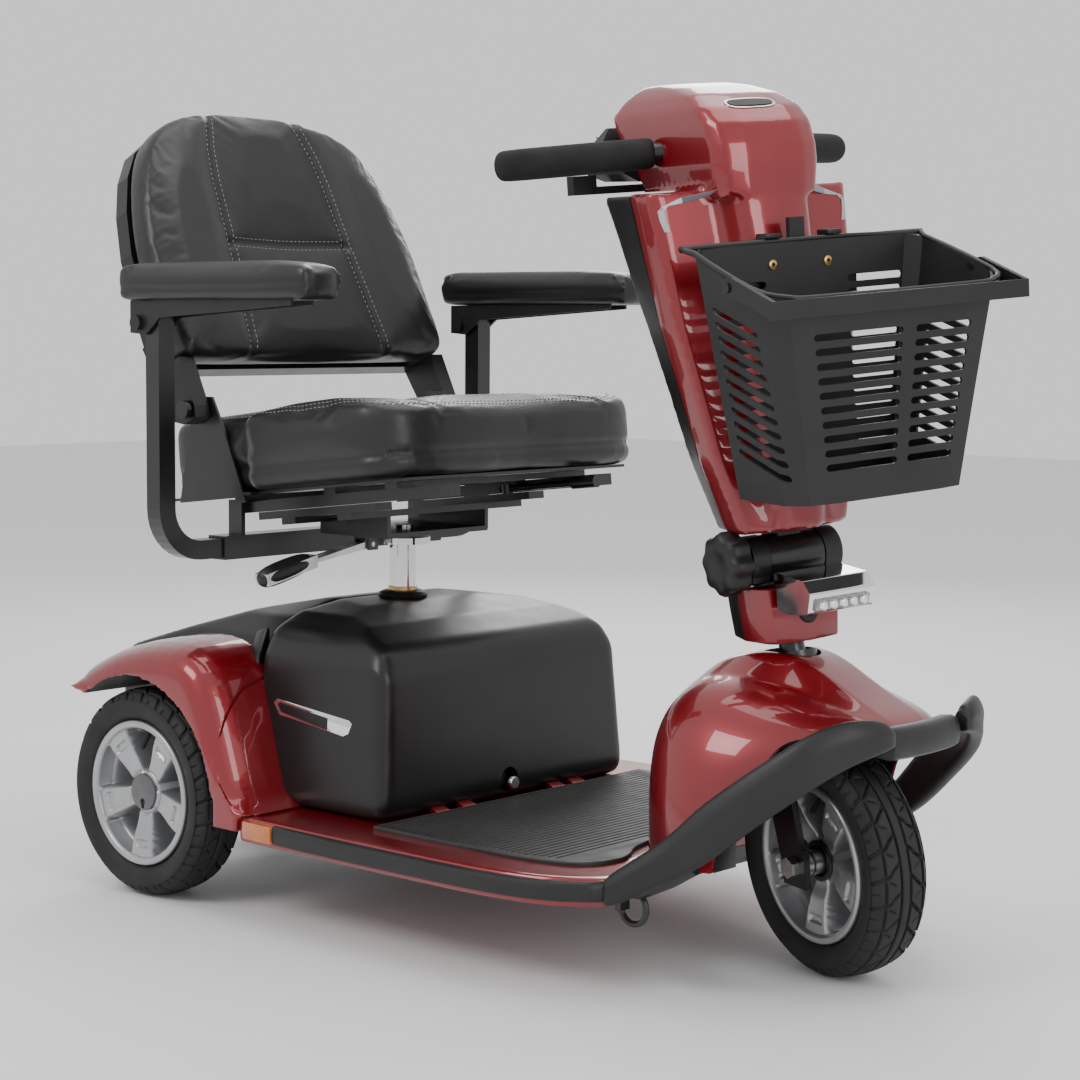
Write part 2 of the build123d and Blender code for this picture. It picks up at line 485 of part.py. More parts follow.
kn = cy((TILT_X, -58.4, TILT_Z), (TILT_X, -88, TILT_Z), 35)
for i in range(8):
    a = math.radians(i * 45 + 22.5)
    kn -= cy((TILT_X + 41 * math.cos(a), -50, TILT_Z + 41 * math.sin(a)), (TILT_X + 41 * math.cos(a), -95, TILT_Z + 41 * math.sin(a)), 11)
kn -= cy((TILT_X, -50, TILT_Z), (TILT_X, -80.5, TILT_Z), 7.06)
node("tilt_knob", steer(kn))

# ---------------------------------------------------------------- basket, bail handle, latch
def rim_z(x, d=0):
    return 788 - (x - 362) * 0.34 + d


btop = [(362, -130), (362, 130), (378, 146), (480, 150), (508, 128), (514, 90), (514, -90), (508, -128), (480, -150), (378, -146)]
bbot = [(366, -96), (366, 96), (378, 106), (462, 110), (484, 94), (489, 66), (489, -66), (484, -94), (462, -110), (378, -106)]
bo = lo([[(x, y, 530) for x, y in bbot], [(x, y, rim_z(x)) for x, y in btop]])


def shr(p, cx, d):
    r = []
    for x, y in p:
        sx = (x - cx)
        r.append((cx + sx * (1 - d / 70.0), y * (1 - d / 130.0)))
    return r


bi = lo([[(x, y, 534) for x, y in shr(bbot, 428, 3)], [(x, y, rim_z(x, 6)) for x, y in shr(btop, 438, 3)]])
bsk = bo - bi
hooks = []
for s in (1, -1):
    hk = bx(344, 363, 45 * s - 8, 45 * s + 8, 770.3, 776) + bx(344, 347.6, 45 * s - 8, 45 * s + 8, 758, 776)
    hooks += [hk - bo, bx(357.4, 370, 25 * s - 6, 25 * s + 6, 592, 604) - bo]
bsk -= cy((452, -170, 750), (452, 170, 750), 5.06)
node("basket", steer(Part() + sorted(bsk.solids(), key=lambda k: -k.volume)[0]), *[steer(h) for h in hooks])
ha = ex_y([(443, 742), (443, 758), (458, 760), (526, 737), (526, 719), (456, 742)], 153.5, 159)
ha += cy((452, 144, 750), (452, 161, 750), 5.0)
hf = bx(519.5, 526, -159, 159, 719, 737)
node("basket_handle", steer(ha + mir(ha) + hf))
pz = NODES["tiller_post"]
ears = bx(343, 353, 10, 14, 769, 783) + bx(343, 353, -14, -10, 769, 783)
post += ears
post -= cy((348, -30, 778), (348, 30, 778), 3.05)
node("tiller_post", steer(post))
lat = bx(345, 351, -9.6, 9.6, 774.5, 812) + cy((348, -13.8, 778), (348, 13.8, 778), 3.0)
node("basket_latch", steer(lat))

# ---------------------------------------------------------------- seat post, swivel, slides
sp_ = cy((POST_X, 0, 190), (POST_X, 0, 424), 16.5)
sp_ += cy((POST_X, 0, 424), (POST_X, 0, 432), 34)
sp_ += cy((POST_X, 0, 432), (POST_X, 0, 447), 12.0)
node("seat_post", sp_)
sw = bx(POST_X - 55, POST_X + 62, -88, 88, 438, 444)
sw += cy((POST_X, 0, 432.4), (POST_X, 0, 444), 30)
tn = math.tan(math.radians(SEAT_TILT))
for s in (1, -1):
    y = 86 * s
    sw += ex_y([(POST_X - 55, 440), (POST_X + 62, 440), (POST_X + 62, SEAT_Z + 62 * tn + 2), (POST_X - 55, SEAT_Z - 55 * tn + 2)], y - 3, y + 3)
for x in (-46, 52):
    sw += seat(bx(x - 12, x + 12, -150, 150, -2, 6))
for s in (1, -1):
    sw += seat(bx(-100, 104, 135 * s - 14, 135 * s + 14, 6, 15.5))
sw -= cy((POST_X, 0, 430), (POST_X, 0, 460), 12.06)
# lever hanger under the plate
sw += bx(POST_X - 13, POST_X - 10, -72, -56, 420, 438.5) + bx(POST_X + 10, POST_X + 13, -72, -56, 420, 438.5)
sw -= cy((POST_X - 20, -64, 427), (POST_X + 20, -64, 427), 3.05)
node("seat_swivel_plate", sw)
lev = ex_x([(-46, 431), (-46, 427), (-150, 413), (-232, 394), (-233, 404), (-168, 420), (-150, 417.5), (-64, 431)], POST_X - 9.5, POST_X + 9.5)
lev = ex_x([(-56, 432), (-56, 424), (-160, 410), (-160, 414), (-70, 431)], POST_X - 9.5, POST_X + 9.5)
lev += ex_x([(-155, 405), (-232, 388), (-236, 402), (-155, 420)], POST_X - 11, POST_X + 11)
lev += cy((POST_X - 12.8, -64, 427), (POST_X + 12.8, -64, 427), 3.0)
node("swivel_lever", lev)

RZ = ARM_X
fr_ = Part()
for s in (1, -1):
    fr_ += seat(bx(-130, 216, 135 * s - 15, 135 * s + 15, 15.9, 30))
    fr_ += seat(bx(-122, -104, 150 * s - 14, 150 * s + 14, 29, 36))
fr_ += seat(bx(-122, -104, -166, 166, 30, 37)) + seat(bx(140, 160, -166, 166, 30, 37)) + seat(bx(20, 40, -150, 150, 30, 37))
fr_ += seat(bx(-200, 205, -190, 190, 37, 40.5))
rec = bx(RZ - 15, RZ + 15, -190, 190, 407, 436) - bx(RZ - 12.3, RZ + 12.3, -200, 200, 409.5, 433.5)
fr_ += rec
for s in (1, -1):
    fr_ += ex_x([(154 * s, 434), (160 * s, 434), (160 * s, 478), (154 * s, 478)], RZ - 12, RZ + 12)
    # side plates that rise to the backrest hinge
    fr_ += ex_y([(-470, 474), (-352, 487.5), (-385, 560), (-410, 606), (-440, 606), (-452, 560)], 200 * s, 203.5 * s)
    fr_ += seat(bx(-190, -50, min(186 * s, 203.5 * s), max(186 * s, 203.5 * s), 37, 40.5))
fr_ -= cy((HINGE_X, -220, HINGE_Z), (HINGE_X, 220, HINGE_Z), 6.0)
fr_ -= seat(cy((80, 108, 10), (80, 108, 30), 4.05))
fr_ += seat(bx(62, 100, 104, 121, 27, 31))
fr_ -= seat(cy((80, 108, 10), (80, 108, 40), 4.05))
node("seat_frame", fr_)
hbt = []
for s in (1, -1):
    hbt.append(cy((HINGE_X, 199 * s, HINGE_Z), (HINGE_X, 233 * s, HINGE_Z), 6.0) + cy((HINGE_X, 231.6 * s, HINGE_Z), (HINGE_X, 238 * s, HINGE_Z), 11))
node("seat_hinge_bolts", *hbt)
sl = seat(cy((70, 108, 21), (226, 108, 21), 4.0)) + seat(cy((190, 108, 21), (228, 108, 21), 7.5)) + seat(cy((80, 108, 14), (80, 108, 30.5), 4.0)) + seat(cy((80, 108, 15), (80, 108, 26.5), 7))
node("slide_lever", sl)

cu = ex_z([(-205, -196), (-205, 196), (-52, 197), (-36, 224), (180, 228), (212, 205), (218, 150), (218, -150), (212, -205), (180, -228), (-36, -224), (-52, -197)], 41, 119)
cu2 = ex_z([(-200, -190), (-200, 190), (-50, 192), (-30, 218), (176, 221), (205, 200), (211, 148), (211, -148), (205, -200), (176, -221), (-30, -218), (-50, -192)], 118, 136)
node("seat_cushion", seat(cu + cu2 - bx(-60, 230, -110, 110, 124, 140)))

# backrest: width against height along the back
prof_b = [(62, 228), (150, 228), (217, 225), (275, 213), (325, 195), (360, 172), (382, 140), (396, 96), (404, 45)]


def back_outline(d):
    r = [(y - d if y > 60 else y, u - (d if u > 300 else 0)) for u, y in prof_b]
    return [(y, u) for y, u in r] + [(-y, u) for y, u in r[::-1]]


bsh = ex_x(back_outline(2), -48, -25.2)
for s in (1, -1):
    arm = ex_y([(-48, 100), (-30, -4), (-14, -14), (10, -14), (14, 0), (12, 64), (-25.2, 64), (-25.2, 100)], 206 * s, 229 * s)
    bsh += arm
bsh -= cy((0, -260, 0), (0, 260, 0), 6.08)
bsh -= ex_x(back_outline(-20), -25.2, 60) & bx(-25.2, 60, -300, 300, 64, 500)
node("backrest_shell", back(Part() + sorted(bsh.solids(), key=lambda k: -k.volume)[0]))
bc = ex_x([(y, u if u > 70 else 64.5) for y, u in back_outline(0)], -25, 9)
node("backrest_cushion", back(bc))

# armrests
for side, s in (("left", 1), ("right", -1)):
    R = 52.0
    y = ARM_Y * s
    tb = bx(ARM_X - 12, ARM_X + 12, y - 12, y + 12, 421.5 + R, 706)
    tb += bx(ARM_X - 12, ARM_X + 12, min(60 * s, y - R * s), max(60 * s, y - R * s), 409.8, 433.2)
    arcp = []
    for a in range(0, 91, 10):
        arcp.append((y - R * s + (R + 12) * s * math.cos(math.radians(a)), 421.5 + R - (R + 11.7) * math.sin(math.radians(a))))
    for a in range(90, -1, -10):
        arcp.append((y - R * s + (R - 12) * s * math.cos(math.radians(a)), 421.5 + R - (R - 11.7) * math.sin(math.radians(a))))
    tb += ex_x(arcp, ARM_X - 12, ARM_X + 12)
    tb += ex_y([(-450, 684), (-424, 684), (-406, 700), (-406, 707), (-450, 707)], y - 12, y + 12)
    tb -= cy((PIV_X, y - 40, PIV_Z), (PIV_X, y + 40, PIV_Z), 5.06)
    node("armrest_tube_" + side, tb)
    br = ex_y([(-452, 683), (-424, 681), (-398, 701), (-170, 716), (-170, 727), (-452, 720)], y - 17, y + 17)
    br -= ex_y([(-460, 670), (-396, 670), (-396, 713), (-460, 713)], y - 13.5, y + 13.5)
    br -= ex_y([(-400, 690), (-170, 705), (-165, 722), (-400, 712)], y - 14, y + 14)
    br += cy((PIV_X, y - 20, PIV_Z), (PIV_X, y + 20, PIV_Z), 5.0) + cy((PIV_X, y + 16.9, PIV_Z), (PIV_X, y + 23, PIV_Z), 9) + cy((PIV_X, y - 23, PIV_Z), (PIV_X, y - 16.9, PIV_Z), 9)
    node("arm_bracket_" + side, Part() + sorted(br.solids(), key=lambda k: -k.volume)[0])
    pad = ex_y([(-462, 721), (-455, 720.5), (-170, 727.3), (-140, 730), (-134, 745), (-142, 760), (-175, 764), (-445, 755), (-462, 746)], y - 31, y + 31)
    pad = soft(pad, 9, lambda q: q.edges().filter_by(Axis.X, tolerance=4).group_by(Axis.Z)[-1])
    node("arm_pad_" + side, pad)

# ---------------------------------------------------------------- write
if __name__ == "__main__":
    tot = None
    for nm, sol in NODES.items():
        out_s = [Pos(X0, 0, 0) * q for q in sol]
        comp = Compound(children=out_s) if len(out_s) > 1 else out_s[0]
        export_step(comp, "parts/%s.step" % nm)
        b = comp.bounding_box()
        tot = b if tot is None else tot.add(b)
    print(len(NODES), "nodes; x %.1f..%.1f  y %.1f..%.1f  z %.1f..%.1f" % (tot.min.X, tot.max.X, tot.min.Y, tot.max.Y, tot.min.Z, tot.max.Z))
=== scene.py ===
import bpy, bmesh, json, math, random
import numpy as np
from mathutils import Vector, Matrix
from mathutils.bvhtree import BVHTree


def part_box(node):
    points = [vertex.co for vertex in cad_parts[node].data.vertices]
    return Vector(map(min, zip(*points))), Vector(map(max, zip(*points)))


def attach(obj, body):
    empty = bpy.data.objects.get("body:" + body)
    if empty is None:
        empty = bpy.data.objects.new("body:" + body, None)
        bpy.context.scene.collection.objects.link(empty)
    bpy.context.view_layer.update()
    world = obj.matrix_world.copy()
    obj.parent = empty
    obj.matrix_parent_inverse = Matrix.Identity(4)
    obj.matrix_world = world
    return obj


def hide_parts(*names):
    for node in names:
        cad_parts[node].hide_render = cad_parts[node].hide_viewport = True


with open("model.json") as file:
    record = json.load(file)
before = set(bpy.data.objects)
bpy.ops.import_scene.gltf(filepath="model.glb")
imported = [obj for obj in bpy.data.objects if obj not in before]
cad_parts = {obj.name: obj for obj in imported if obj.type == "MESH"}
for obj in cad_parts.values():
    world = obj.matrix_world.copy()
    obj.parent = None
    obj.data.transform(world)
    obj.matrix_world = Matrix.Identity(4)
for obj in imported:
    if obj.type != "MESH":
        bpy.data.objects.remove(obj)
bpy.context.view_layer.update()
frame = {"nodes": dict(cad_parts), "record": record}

random.seed(7)
_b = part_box("rear_tyre_left")
X0 = (_b[0][0] + _b[1][0]) * 500 + 450.0      # model datum: rear axle at x = -450 mm
RAKE, STEER = math.radians(14.75), math.radians(-19.4)
AX = np.array([-math.sin(RAKE), 0, math.cos(RAKE)])
PIV = np.array([366.0, 0, 130.0])


def rotv(v, a, t):
    v = np.atleast_2d(np.asarray(v, float))
    return v * math.cos(t) + np.cross(a, v) * math.sin(t) + np.outer(v @ a, a) * (1 - math.cos(t))


def turn(p):                 # straight-ahead millimetres -> millimetres with the tiller turned
    return rotv(np.atleast_2d(p) - PIV, AX, STEER) + PIV


def same(p):
    return np.atleast_2d(np.asarray(p, float))


_t = math.radians(6.5)
def seat(p):                 # seat frame -> model datum
    p = same(p)
    return np.c_[-286 + p[:, 0] * math.cos(_t) - p[:, 2] * math.sin(_t), p[:, 1], 460 + p[:, 0] * math.sin(_t) + p[:, 2] * math.cos(_t)]


_r = math.radians(24)
def back(p):                 # backrest frame (n, y, u) -> model datum
    p = same(p)
    return np.c_[-425 + p[:, 0] * math.cos(_r) - p[:, 2] * math.sin(_r), p[:, 1], 591 + p[:, 0] * math.sin(_r) + p[:, 2] * math.cos(_r)]


def W(p):
    p = same(p)
    return np.c_[(p[:, 0] + X0) / 1000, p[:, 1] / 1000, p[:, 2] / 1000]


# ------------------------------------------------------------------ mesh helpers
def make(name, V, F, T=same):
    me = bpy.data.meshes.new(name)
    me.from_pydata([tuple(v) for v in W(T(np.array(V, float)))], [], [tuple(int(i) for i in f) for f in F])
    me.validate()
    bm = bmesh.new(); bm.from_mesh(me)
    bmesh.ops.recalc_face_normals(bm, faces=bm.faces)
    bm.to_mesh(me); bm.free()
    o = bpy.data.objects.new(name, me)
    bpy.context.scene.collection.objects.link(o)
    return o


def prism(pts, axis, a, b):
    n = len(pts)
    V = []
    for h in (a, b):
        for p, q in pts:
            V.append((h, p, q) if axis == 'x' else ((p, h, q) if axis == 'y' else (p, q, h)))
    F = [tuple(range(n)), tuple(range(2 * n - 1, n - 1, -1))] + [(i, (i + 1) % n, n + (i + 1) % n, n + i) for i in range(n)]
    return V, F


def loft(secs, cap=True):
    n = len(secs[0]); V = [p for s in secs for p in s]; F = []
    for k in range(len(secs) - 1):
        for i in range(n):
            j = (i + 1) % n
            F.append((k * n + i, k * n + j, (k + 1) * n + j, (k + 1) * n + i))
    if cap:
        F.append(tuple(range(n - 1, -1, -1))); F.append(tuple((len(secs) - 1) * n + i for i in range(n)))
    return V, F


def tube(path, r, n=16, T=same, close=False):
    """round tube along a polyline (mm); r one number or one per point"""
    P = np.array(path, float); m = len(P)
    rr = np.full(m, r, float) if np.isscalar(r) else np.array(r, float)
    V = []; F = []
    up = np.array([0.13, 0.21, 0.97]); last = None
    for i in range(m):
        a = P[max(i - 1, 0)]; b = P[min(i + 1, m - 1)]
        if close: a, b = P[(i - 1) % m], P[(i + 1) % m]
        t = b - a; t /= np.linalg.norm(t)
        if last is None:
            u = np.cross(t, up); u /= np.linalg.norm(u)
        else:
            u = last - t * (last @ t); u /= np.linalg.norm(u)
        last = u; v = np.cross(t, u)
        for k in range(n):
            q = 2 * math.pi * k / n
            V.append(P[i] + rr[i] * (math.cos(q) * u + math.sin(q) * v))
    for i in range(m if close else m - 1):
        for k in range(n):
            a, b = i * n, ((i + 1) % m) * n
            F.append((a + k, a + (k + 1) % n, b + (k + 1) % n, b + k))
    if not close:
        F.append(tuple(range(n - 1, -1, -1))); F.append(tuple((m - 1) * n + i for i in range(n)))
    return V, F


def turned(prof, c, axis, n=48):
    """solid of revolution; prof = (distance along axis, radius); c = origin, axis = direction (mm)"""
    a = np.array(axis, float); a /= np.linalg.norm(a)
    u = np.cross(a, [0.3, 0.2, 0.9]); u /= np.linalg.norm(u); v = np.cross(a, u)
    V = []; F = []
    for h, r in prof:
        for k in range(n):
            q = 2 * math.pi * k / n
            V.append(np.array(c) + a * h + r * (math.cos(q) * u + math.sin(q) * v))
    m = len(prof)
    for i in range(m - 1):
        for k in range(n):
            F.append((i * n + k, i * n + (k + 1) % n, (i + 1) * n + (k + 1) % n, (i + 1) * n + k))
    F.append(tuple(range(n - 1, -1, -1))); F.append(tuple((m - 1) * n + k for k in range(n)))
    return V, F


def both(*parts):
    V = []; F = []
    for v, f in parts:
        k = len(V); V += [tuple(q) for q in v]; F += [tuple(i + k for i in g) for g in f]
    return V, F


def flip_y(vf):
    return [(p[0], -p[1], p[2]) for p in vf[0]], [tuple(reversed(f)) for f in vf[1]]


def bake(o):
    dg = bpy.context.evaluated_depsgraph_get()
    me = bpy.data.meshes.new_from_object(o.evaluated_get(dg))
    o.modifiers.clear(); old = o.data; o.data = me; me.name = o.name
    bpy.data.meshes.remove(old)
    return o


def boolean(a, b, op='DIFFERENCE', keep=False):
    m = a.modifiers.new('b', 'BOOLEAN'); m.object = b; m.operation = op; m.solver = 'EXACT'; m.use_self = False
    bake(a)
    if not keep:
        me = b.data; bpy.data.objects.remove(b); bpy.data.meshes.remove(me)
    return a


def voxel(o, size, smooth=6, fac=0.5):
    m = o.modifiers.new('r', 'REMESH'); m.mode = 'VOXEL'; m.voxel_size = size / 1000
    if smooth:
        s = o.modifiers.new('s', 'SMOOTH'); s.factor = fac; s.iterations = smooth
    return bake(o)


def bevel(o, w, seg=3, ang=28, sub=0):
    m = o.modifiers.new('v', 'BEVEL'); m.width = w / 1000; m.segments = seg; m.limit_method = 'ANGLE'; m.angle_limit = math.radians(ang); m.use_clamp_overlap = True
    m.harden_normals = False
    bake(o)
    return shade(o, 40)


def subd(o, lv=1):
    m = o.modifiers.new('u', 'SUBSURF'); m.levels = lv; m.render_levels = lv
    return bake(o)


def shade(o, ang=180):
    me = o.data
    me.polygons.foreach_set('use_smooth', [True] * len(me.polygons))
    if ang < 180:
        try:
            me.set_sharp_from_angle(angle=math.radians(ang))
        except Exception:
            pass
    me.update()
    return o


def coords(o):
    a = np.empty(len(o.data.vertices) * 3); o.data.vertices.foreach_get('co', a)
    return a.reshape(-1, 3)


def setco(o, a):
    o.data.vertices.foreach_set('co', a.ravel()); o.data.update()


# ------------------------------------------------------------------ materials
MATS = {}


def mat(name, c1, c2=None, r=(0.4, 0.5), metal=0.0, coat=0.0, coat_r=0.05, cs=14.0, rs=30.0, bumps=(), spec=0.5, trans=0.0, sheen=0.0, speck=None, emit=0.0):
    m = bpy.data.materials.new(name); m.use_nodes = True
    nt = m.node_tree; N = nt.nodes; L = nt.links
    b = N['Principled BSDF']
    co = N.new('ShaderNodeTexCoord')
    c2 = c2 or tuple(x * 0.8 for x in c1)
    nz = N.new('ShaderNodeTexNoise'); nz.inputs['Scale'].default_value = cs; nz.inputs['Detail'].default_value = 5
    L.new(co.outputs['Object'], nz.inputs['Vector'])
    rp = N.new('ShaderNodeValToRGB')
    rp.color_ramp.elements[0].position = 0.35; rp.color_ramp.elements[1].position = 0.68
    rp.color_ramp.elements[0].color = (*c1, 1); rp.color_ramp.elements[1].color = (*c2, 1)
    L.new(nz.outputs['Fac'], rp.inputs['Fac'])
    col = rp.outputs['Color']
    if speck:
        sc, sz, sc_col = speck
        vo = N.new('ShaderNodeTexVoronoi'); vo.inputs['Scale'].default_value = sc
        L.new(co.outputs['Object'], vo.inputs['Vector'])
        mr = N.new('ShaderNodeMapRange'); mr.inputs['From Min'].default_value = 0.0; mr.inputs['From Max'].default_value = sz
        mr.inputs['To Min'].default_value = 1.0; mr.inputs['To Max'].default_value = 0.0
        L.new(vo.outputs['Distance'], mr.inputs['Value'])
        mx = N.new('ShaderNodeMix'); mx.data_type = 'RGBA'
        L.new(mr.outputs['Result'], mx.inputs['Factor']); L.new(col, mx.inputs['A']); mx.inputs['B'].default_value = (*sc_col, 1)
        col = mx.outputs['Result']
    L.new(col, b.inputs['Base Color'])
    n2 = N.new('ShaderNodeTexNoise'); n2.inputs['Scale'].default_value = rs; n2.inputs['Detail'].default_value = 4
    L.new(co.outputs['Object'], n2.inputs['Vector'])
    rr = N.new('ShaderNodeMapRange'); rr.inputs['From Min'].default_value = 0.3; rr.inputs['From Max'].default_value = 0.7
    rr.inputs['To Min'].default_value = r[0]; rr.inputs['To Max'].default_value = r[1]
    L.new(n2.outputs['Fac'], rr.inputs['Value']); L.new(rr.outputs['Result'], b.inputs['Roughness'])
    prev = None
    for kind, sc, strength, dist in bumps:
        if kind == 'noise':
            t = N.new('ShaderNodeTexNoise'); t.inputs['Detail'].default_value = 3; out = 'Fac'
        else:
            t = N.new('ShaderNodeTexVoronoi'); out = 'Distance'
            if kind == 'edge':
                t.feature = 'DISTANCE_TO_EDGE'
        t.inputs['Scale'].default_value = sc
        L.new(co.outputs['Object'], t.inputs['Vector'])
        h = t.outputs[out]
        if kind == 'edge':
            cl = N.new('ShaderNodeMapRange'); cl.inputs['From Max'].default_value = 0.18
            L.new(h, cl.inputs['Value']); h = cl.outputs['Result']
        bp = N.new('ShaderNodeBump'); bp.inputs['Strength'].default_value = strength; bp.inputs['Distance'].default_value = dist / 1000
        L.new(h, bp.inputs['Height'])
        if prev:
            L.new(prev, bp.inputs['Normal'])
        prev = bp.outputs['Normal']
    if prev:
        L.new(prev, b.inputs['Normal'])
    b.inputs['Metallic'].default_value = metal
    b.inputs['Coat Weight'].default_value = coat; b.inputs['Coat Roughness'].default_value = coat_r
    b.inputs['Specular IOR Level'].default_value = spec
    b.inputs['Transmission Weight'].default_value = trans
    b.inputs['Sheen Weight'].default_value = sheen
    m.diffuse_color = (*c1, 1)
    MATS[name] = m
    return m


mat('m_red', (0.20, 0.0022, 0.007), (0.24, 0.003, 0.009), r=(0.30, 0.36), metal=0.45, coat=1.0, coat_r=0.03, cs=3, speck=(1800, 0.16, (0.40, 0.008, 0.016)), bumps=(('noise', 120, 0.02, 0.05),))
mat('m_shell', (0.0065, 0.0066, 0.007), (0.009, 0.009, 0.0095), r=(0.30, 0.37), cs=9, bumps=(('noise', 1500, 0.10, 0.05),), spec=0.45)
mat('m_bumper', (0.0085, 0.0085, 0.009), (0.012, 0.012, 0.0125), r=(0.42, 0.52), cs=12, bumps=(('noise', 1300, 0.2, 0.08), ('vor', 900, 0.1, 0.05)), spec=0.45)
mat('m_plastic', (0.0075, 0.0075, 0.008), (0.011, 0.011, 0.0115), r=(0.40, 0.48), cs=20, bumps=(('noise', 1800, 0.15, 0.05),), spec=0.45)
mat('m_basket', (0.007, 0.007, 0.0075), (0.010, 0.010, 0.0105), r=(0.36, 0.46), cs=20, bumps=(('noise', 1400, 0.2, 0.06),), spec=0.45)
mat('m_steel', (0.006, 0.006, 0.0065), (0.009, 0.009, 0.0095), r=(0.26, 0.36), coat=0.25, coat_r=0.2, cs=25, bumps=(('noise', 500, 0.08, 0.08),))
mat('m_alloy', (0.36, 0.365, 0.375), (0.43, 0.435, 0.445), r=(0.34, 0.42), metal=0.8, coat=0.5, coat_r=0.15, cs=20, speck=(2600, 0.14, (0.62, 0.63, 0.65)))
mat('m_cast', (0.30, 0.30, 0.31), (0.24, 0.24, 0.25), r=(0.45, 0.6), metal=0.8, cs=30, bumps=(('noise', 500, 0.3, 0.15),))
mat('m_tyre', (0.009, 0.009, 0.009), (0.015, 0.015, 0.0148), r=(0.58, 0.72), cs=16, bumps=(('noise', 700, 0.25, 0.12), ('noise', 120, 0.1, 0.3)), spec=0.4)
mat('m_chrome', (0.80, 0.80, 0.81), (0.74, 0.74, 0.75), r=(0.05, 0.09), metal=1.0, cs=10)
mat('m_zinc', (0.62, 0.61, 0.58), (0.50, 0.50, 0.49), r=(0.22, 0.36), metal=1.0, cs=60, bumps=(('noise', 250, 0.08, 0.05),))
mat('m_leather', (0.0068, 0.0070, 0.0078), (0.0095, 0.0097, 0.0105), r=(0.33, 0.42), cs=10, bumps=(('edge', 620, 0.22, 0.12), ('noise', 260, 0.18, 0.25), ('noise', 24, 0.12, 1.2)), spec=0.5)
mat('m_weave', (0.0062, 0.0064, 0.0070), (0.0085, 0.0087, 0.0093), r=(0.44, 0.52), cs=10, bumps=(('edge', 480, 0.5, 0.25), ('noise', 24, 0.12, 1.2)), spec=0.4)
mat('m_pad', (0.0062, 0.0062, 0.0066), (0.0085, 0.0085, 0.009), r=(0.34, 0.42), cs=20, bumps=(('noise', 600, 0.18, 0.1),))
mat('m_mat', (0.012, 0.0115, 0.011), (0.020, 0.019, 0.018), r=(0.48, 0.6), cs=8, bumps=(('noise', 900, 0.25, 0.1),))
mat('m_foam', (0.010, 0.010, 0.010), (0.014, 0.014, 0.0135), r=(0.72, 0.85), cs=50, bumps=(('vor', 1400, 0.35, 0.15),), spec=0.3)
mat('m_amber', (0.60, 0.16, 0.012), (0.48, 0.11, 0.008), r=(0.12, 0.2), coat=1.0, cs=40, bumps=(('edge', 420, 0.9, 0.5),))
mat('m_redlens', (0.45, 0.01, 0.008), (0.35, 0.008, 0.006), r=(0.12, 0.2), coat=1.0, cs=40, bumps=(('edge', 420, 0.9, 0.5),))
mat('m_reflect', (0.36, 0.38, 0.42), (0.42, 0.44, 0.48), r=(0.25, 0.35), metal=0.3, coat=0.6, cs=60, bumps=(('edge', 900, 0.5, 0.15),))
mat('m_lens', (0.92, 0.94, 0.96), (0.88, 0.9, 0.92), r=(0.02, 0.05), trans=0.85, coat=0.5, cs=10)
mat('m_led', (0.9, 0.92, 0.85), (0.8, 0.82, 0.78), r=(0.08, 0.15), metal=0.6, coat=1.0, cs=200)
mat('m_thread', (0.20, 0.20, 0.205), (0.27, 0.27, 0.275), r=(0.6, 0.75), cs=400, bumps=(('noise', 3000, 0.5, 0.1),))
mat('m_brass', (0.62, 0.40, 0.14), (0.5, 0.32, 0.12), r=(0.2, 0.3), metal=1.0, cs=100)
mat('m_battery', (0.03, 0.03, 0.034), (0.045, 0.045, 0.05), r=(0.5, 0.6), cs=20, bumps=(('noise', 800, 0.2, 0.1),))
mat('m_dark', (0.004, 0.004, 0.004), (0.006, 0.006, 0.006), r=(0.5, 0.6), cs=20)
mat('m_grey', (0.11, 0.11, 0.115), (0.14, 0.14, 0.145), r=(0.3, 0.4), metal=0.5, cs=40)

SLOTMAP = dict(candy_red='m_red', black_plastic='m_plastic', black_steel='m_steel', silver_alloy='m_alloy', tyre_rubber='m_tyre', chrome='m_chrome', zinc_steel='m_zinc',
               black_leather='m_leather', mat_rubber='m_mat', foam_rubber='m_foam', amber_lens='m_amber', clear_lens='m_lens', battery_case='m_battery')
BODY = {}
for bn, b in frame["record"]["behaviour"]["bodies"].items():
    for nn in b:
        BODY[nn] = bn
NSLOT = {s["node"]: s["material_slot"] for s in frame["record"]["subparts"]}
OVER = dict(battery_cover='m_shell', rear_cover='m_shell', front_bumper='m_bumper', transaxle='m_cast', motor_controller='m_cast', throttle_lever='m_plastic', horn_button='m_amber',
            basket='m_basket', basket_handle='m_basket', backrest_shell='m_shell')
for nn, o in frame["nodes"].items():
    m = MATS[OVER.get(nn, SLOTMAP[NSLOT[nn]])]
    if not o.material_slots:
        o.data.materials.append(m)
    for s in o.material_slots:
        s.material = m


def put(o, m, body, rep=(), ang=180):
    """finish, shading and body of the piece; hides the parts it stands for"""
    o.data.materials.clear(); o.data.materials.append(MATS[m])
    shade(o, ang)
    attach(o, body)
    if rep:
        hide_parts(*([rep] if isinstance(rep, str) else rep))
    return o


# ------------------------------------------------------------------ stage, light, camera
sc = bpy.context.scene
w = bpy.data.worlds.new('w') if not sc.world else sc.world
sc.world = w; w.use_nodes = True
w.node_tree.nodes['Background'].inputs[0].default_value = (1, 1, 1, 1)
w.node_tree.nodes['Background'].inputs[1].default_value = 0.95


def light(name, loc, target, size, power, sy=None):
    l = bpy.data.lights.new(name, 'AREA'); l.energy = power; l.size = size
    if sy:
        l.shape = 'RECTANGLE'; l.size_y = sy
    o = bpy.data.objects.new(name, l); sc.collection.objects.link(o)
    o.location = loc
    o.rotation_euler = (Vector(target) - Vector(loc)).to_track_quat('-Z', 'Y').to_euler()
    return o


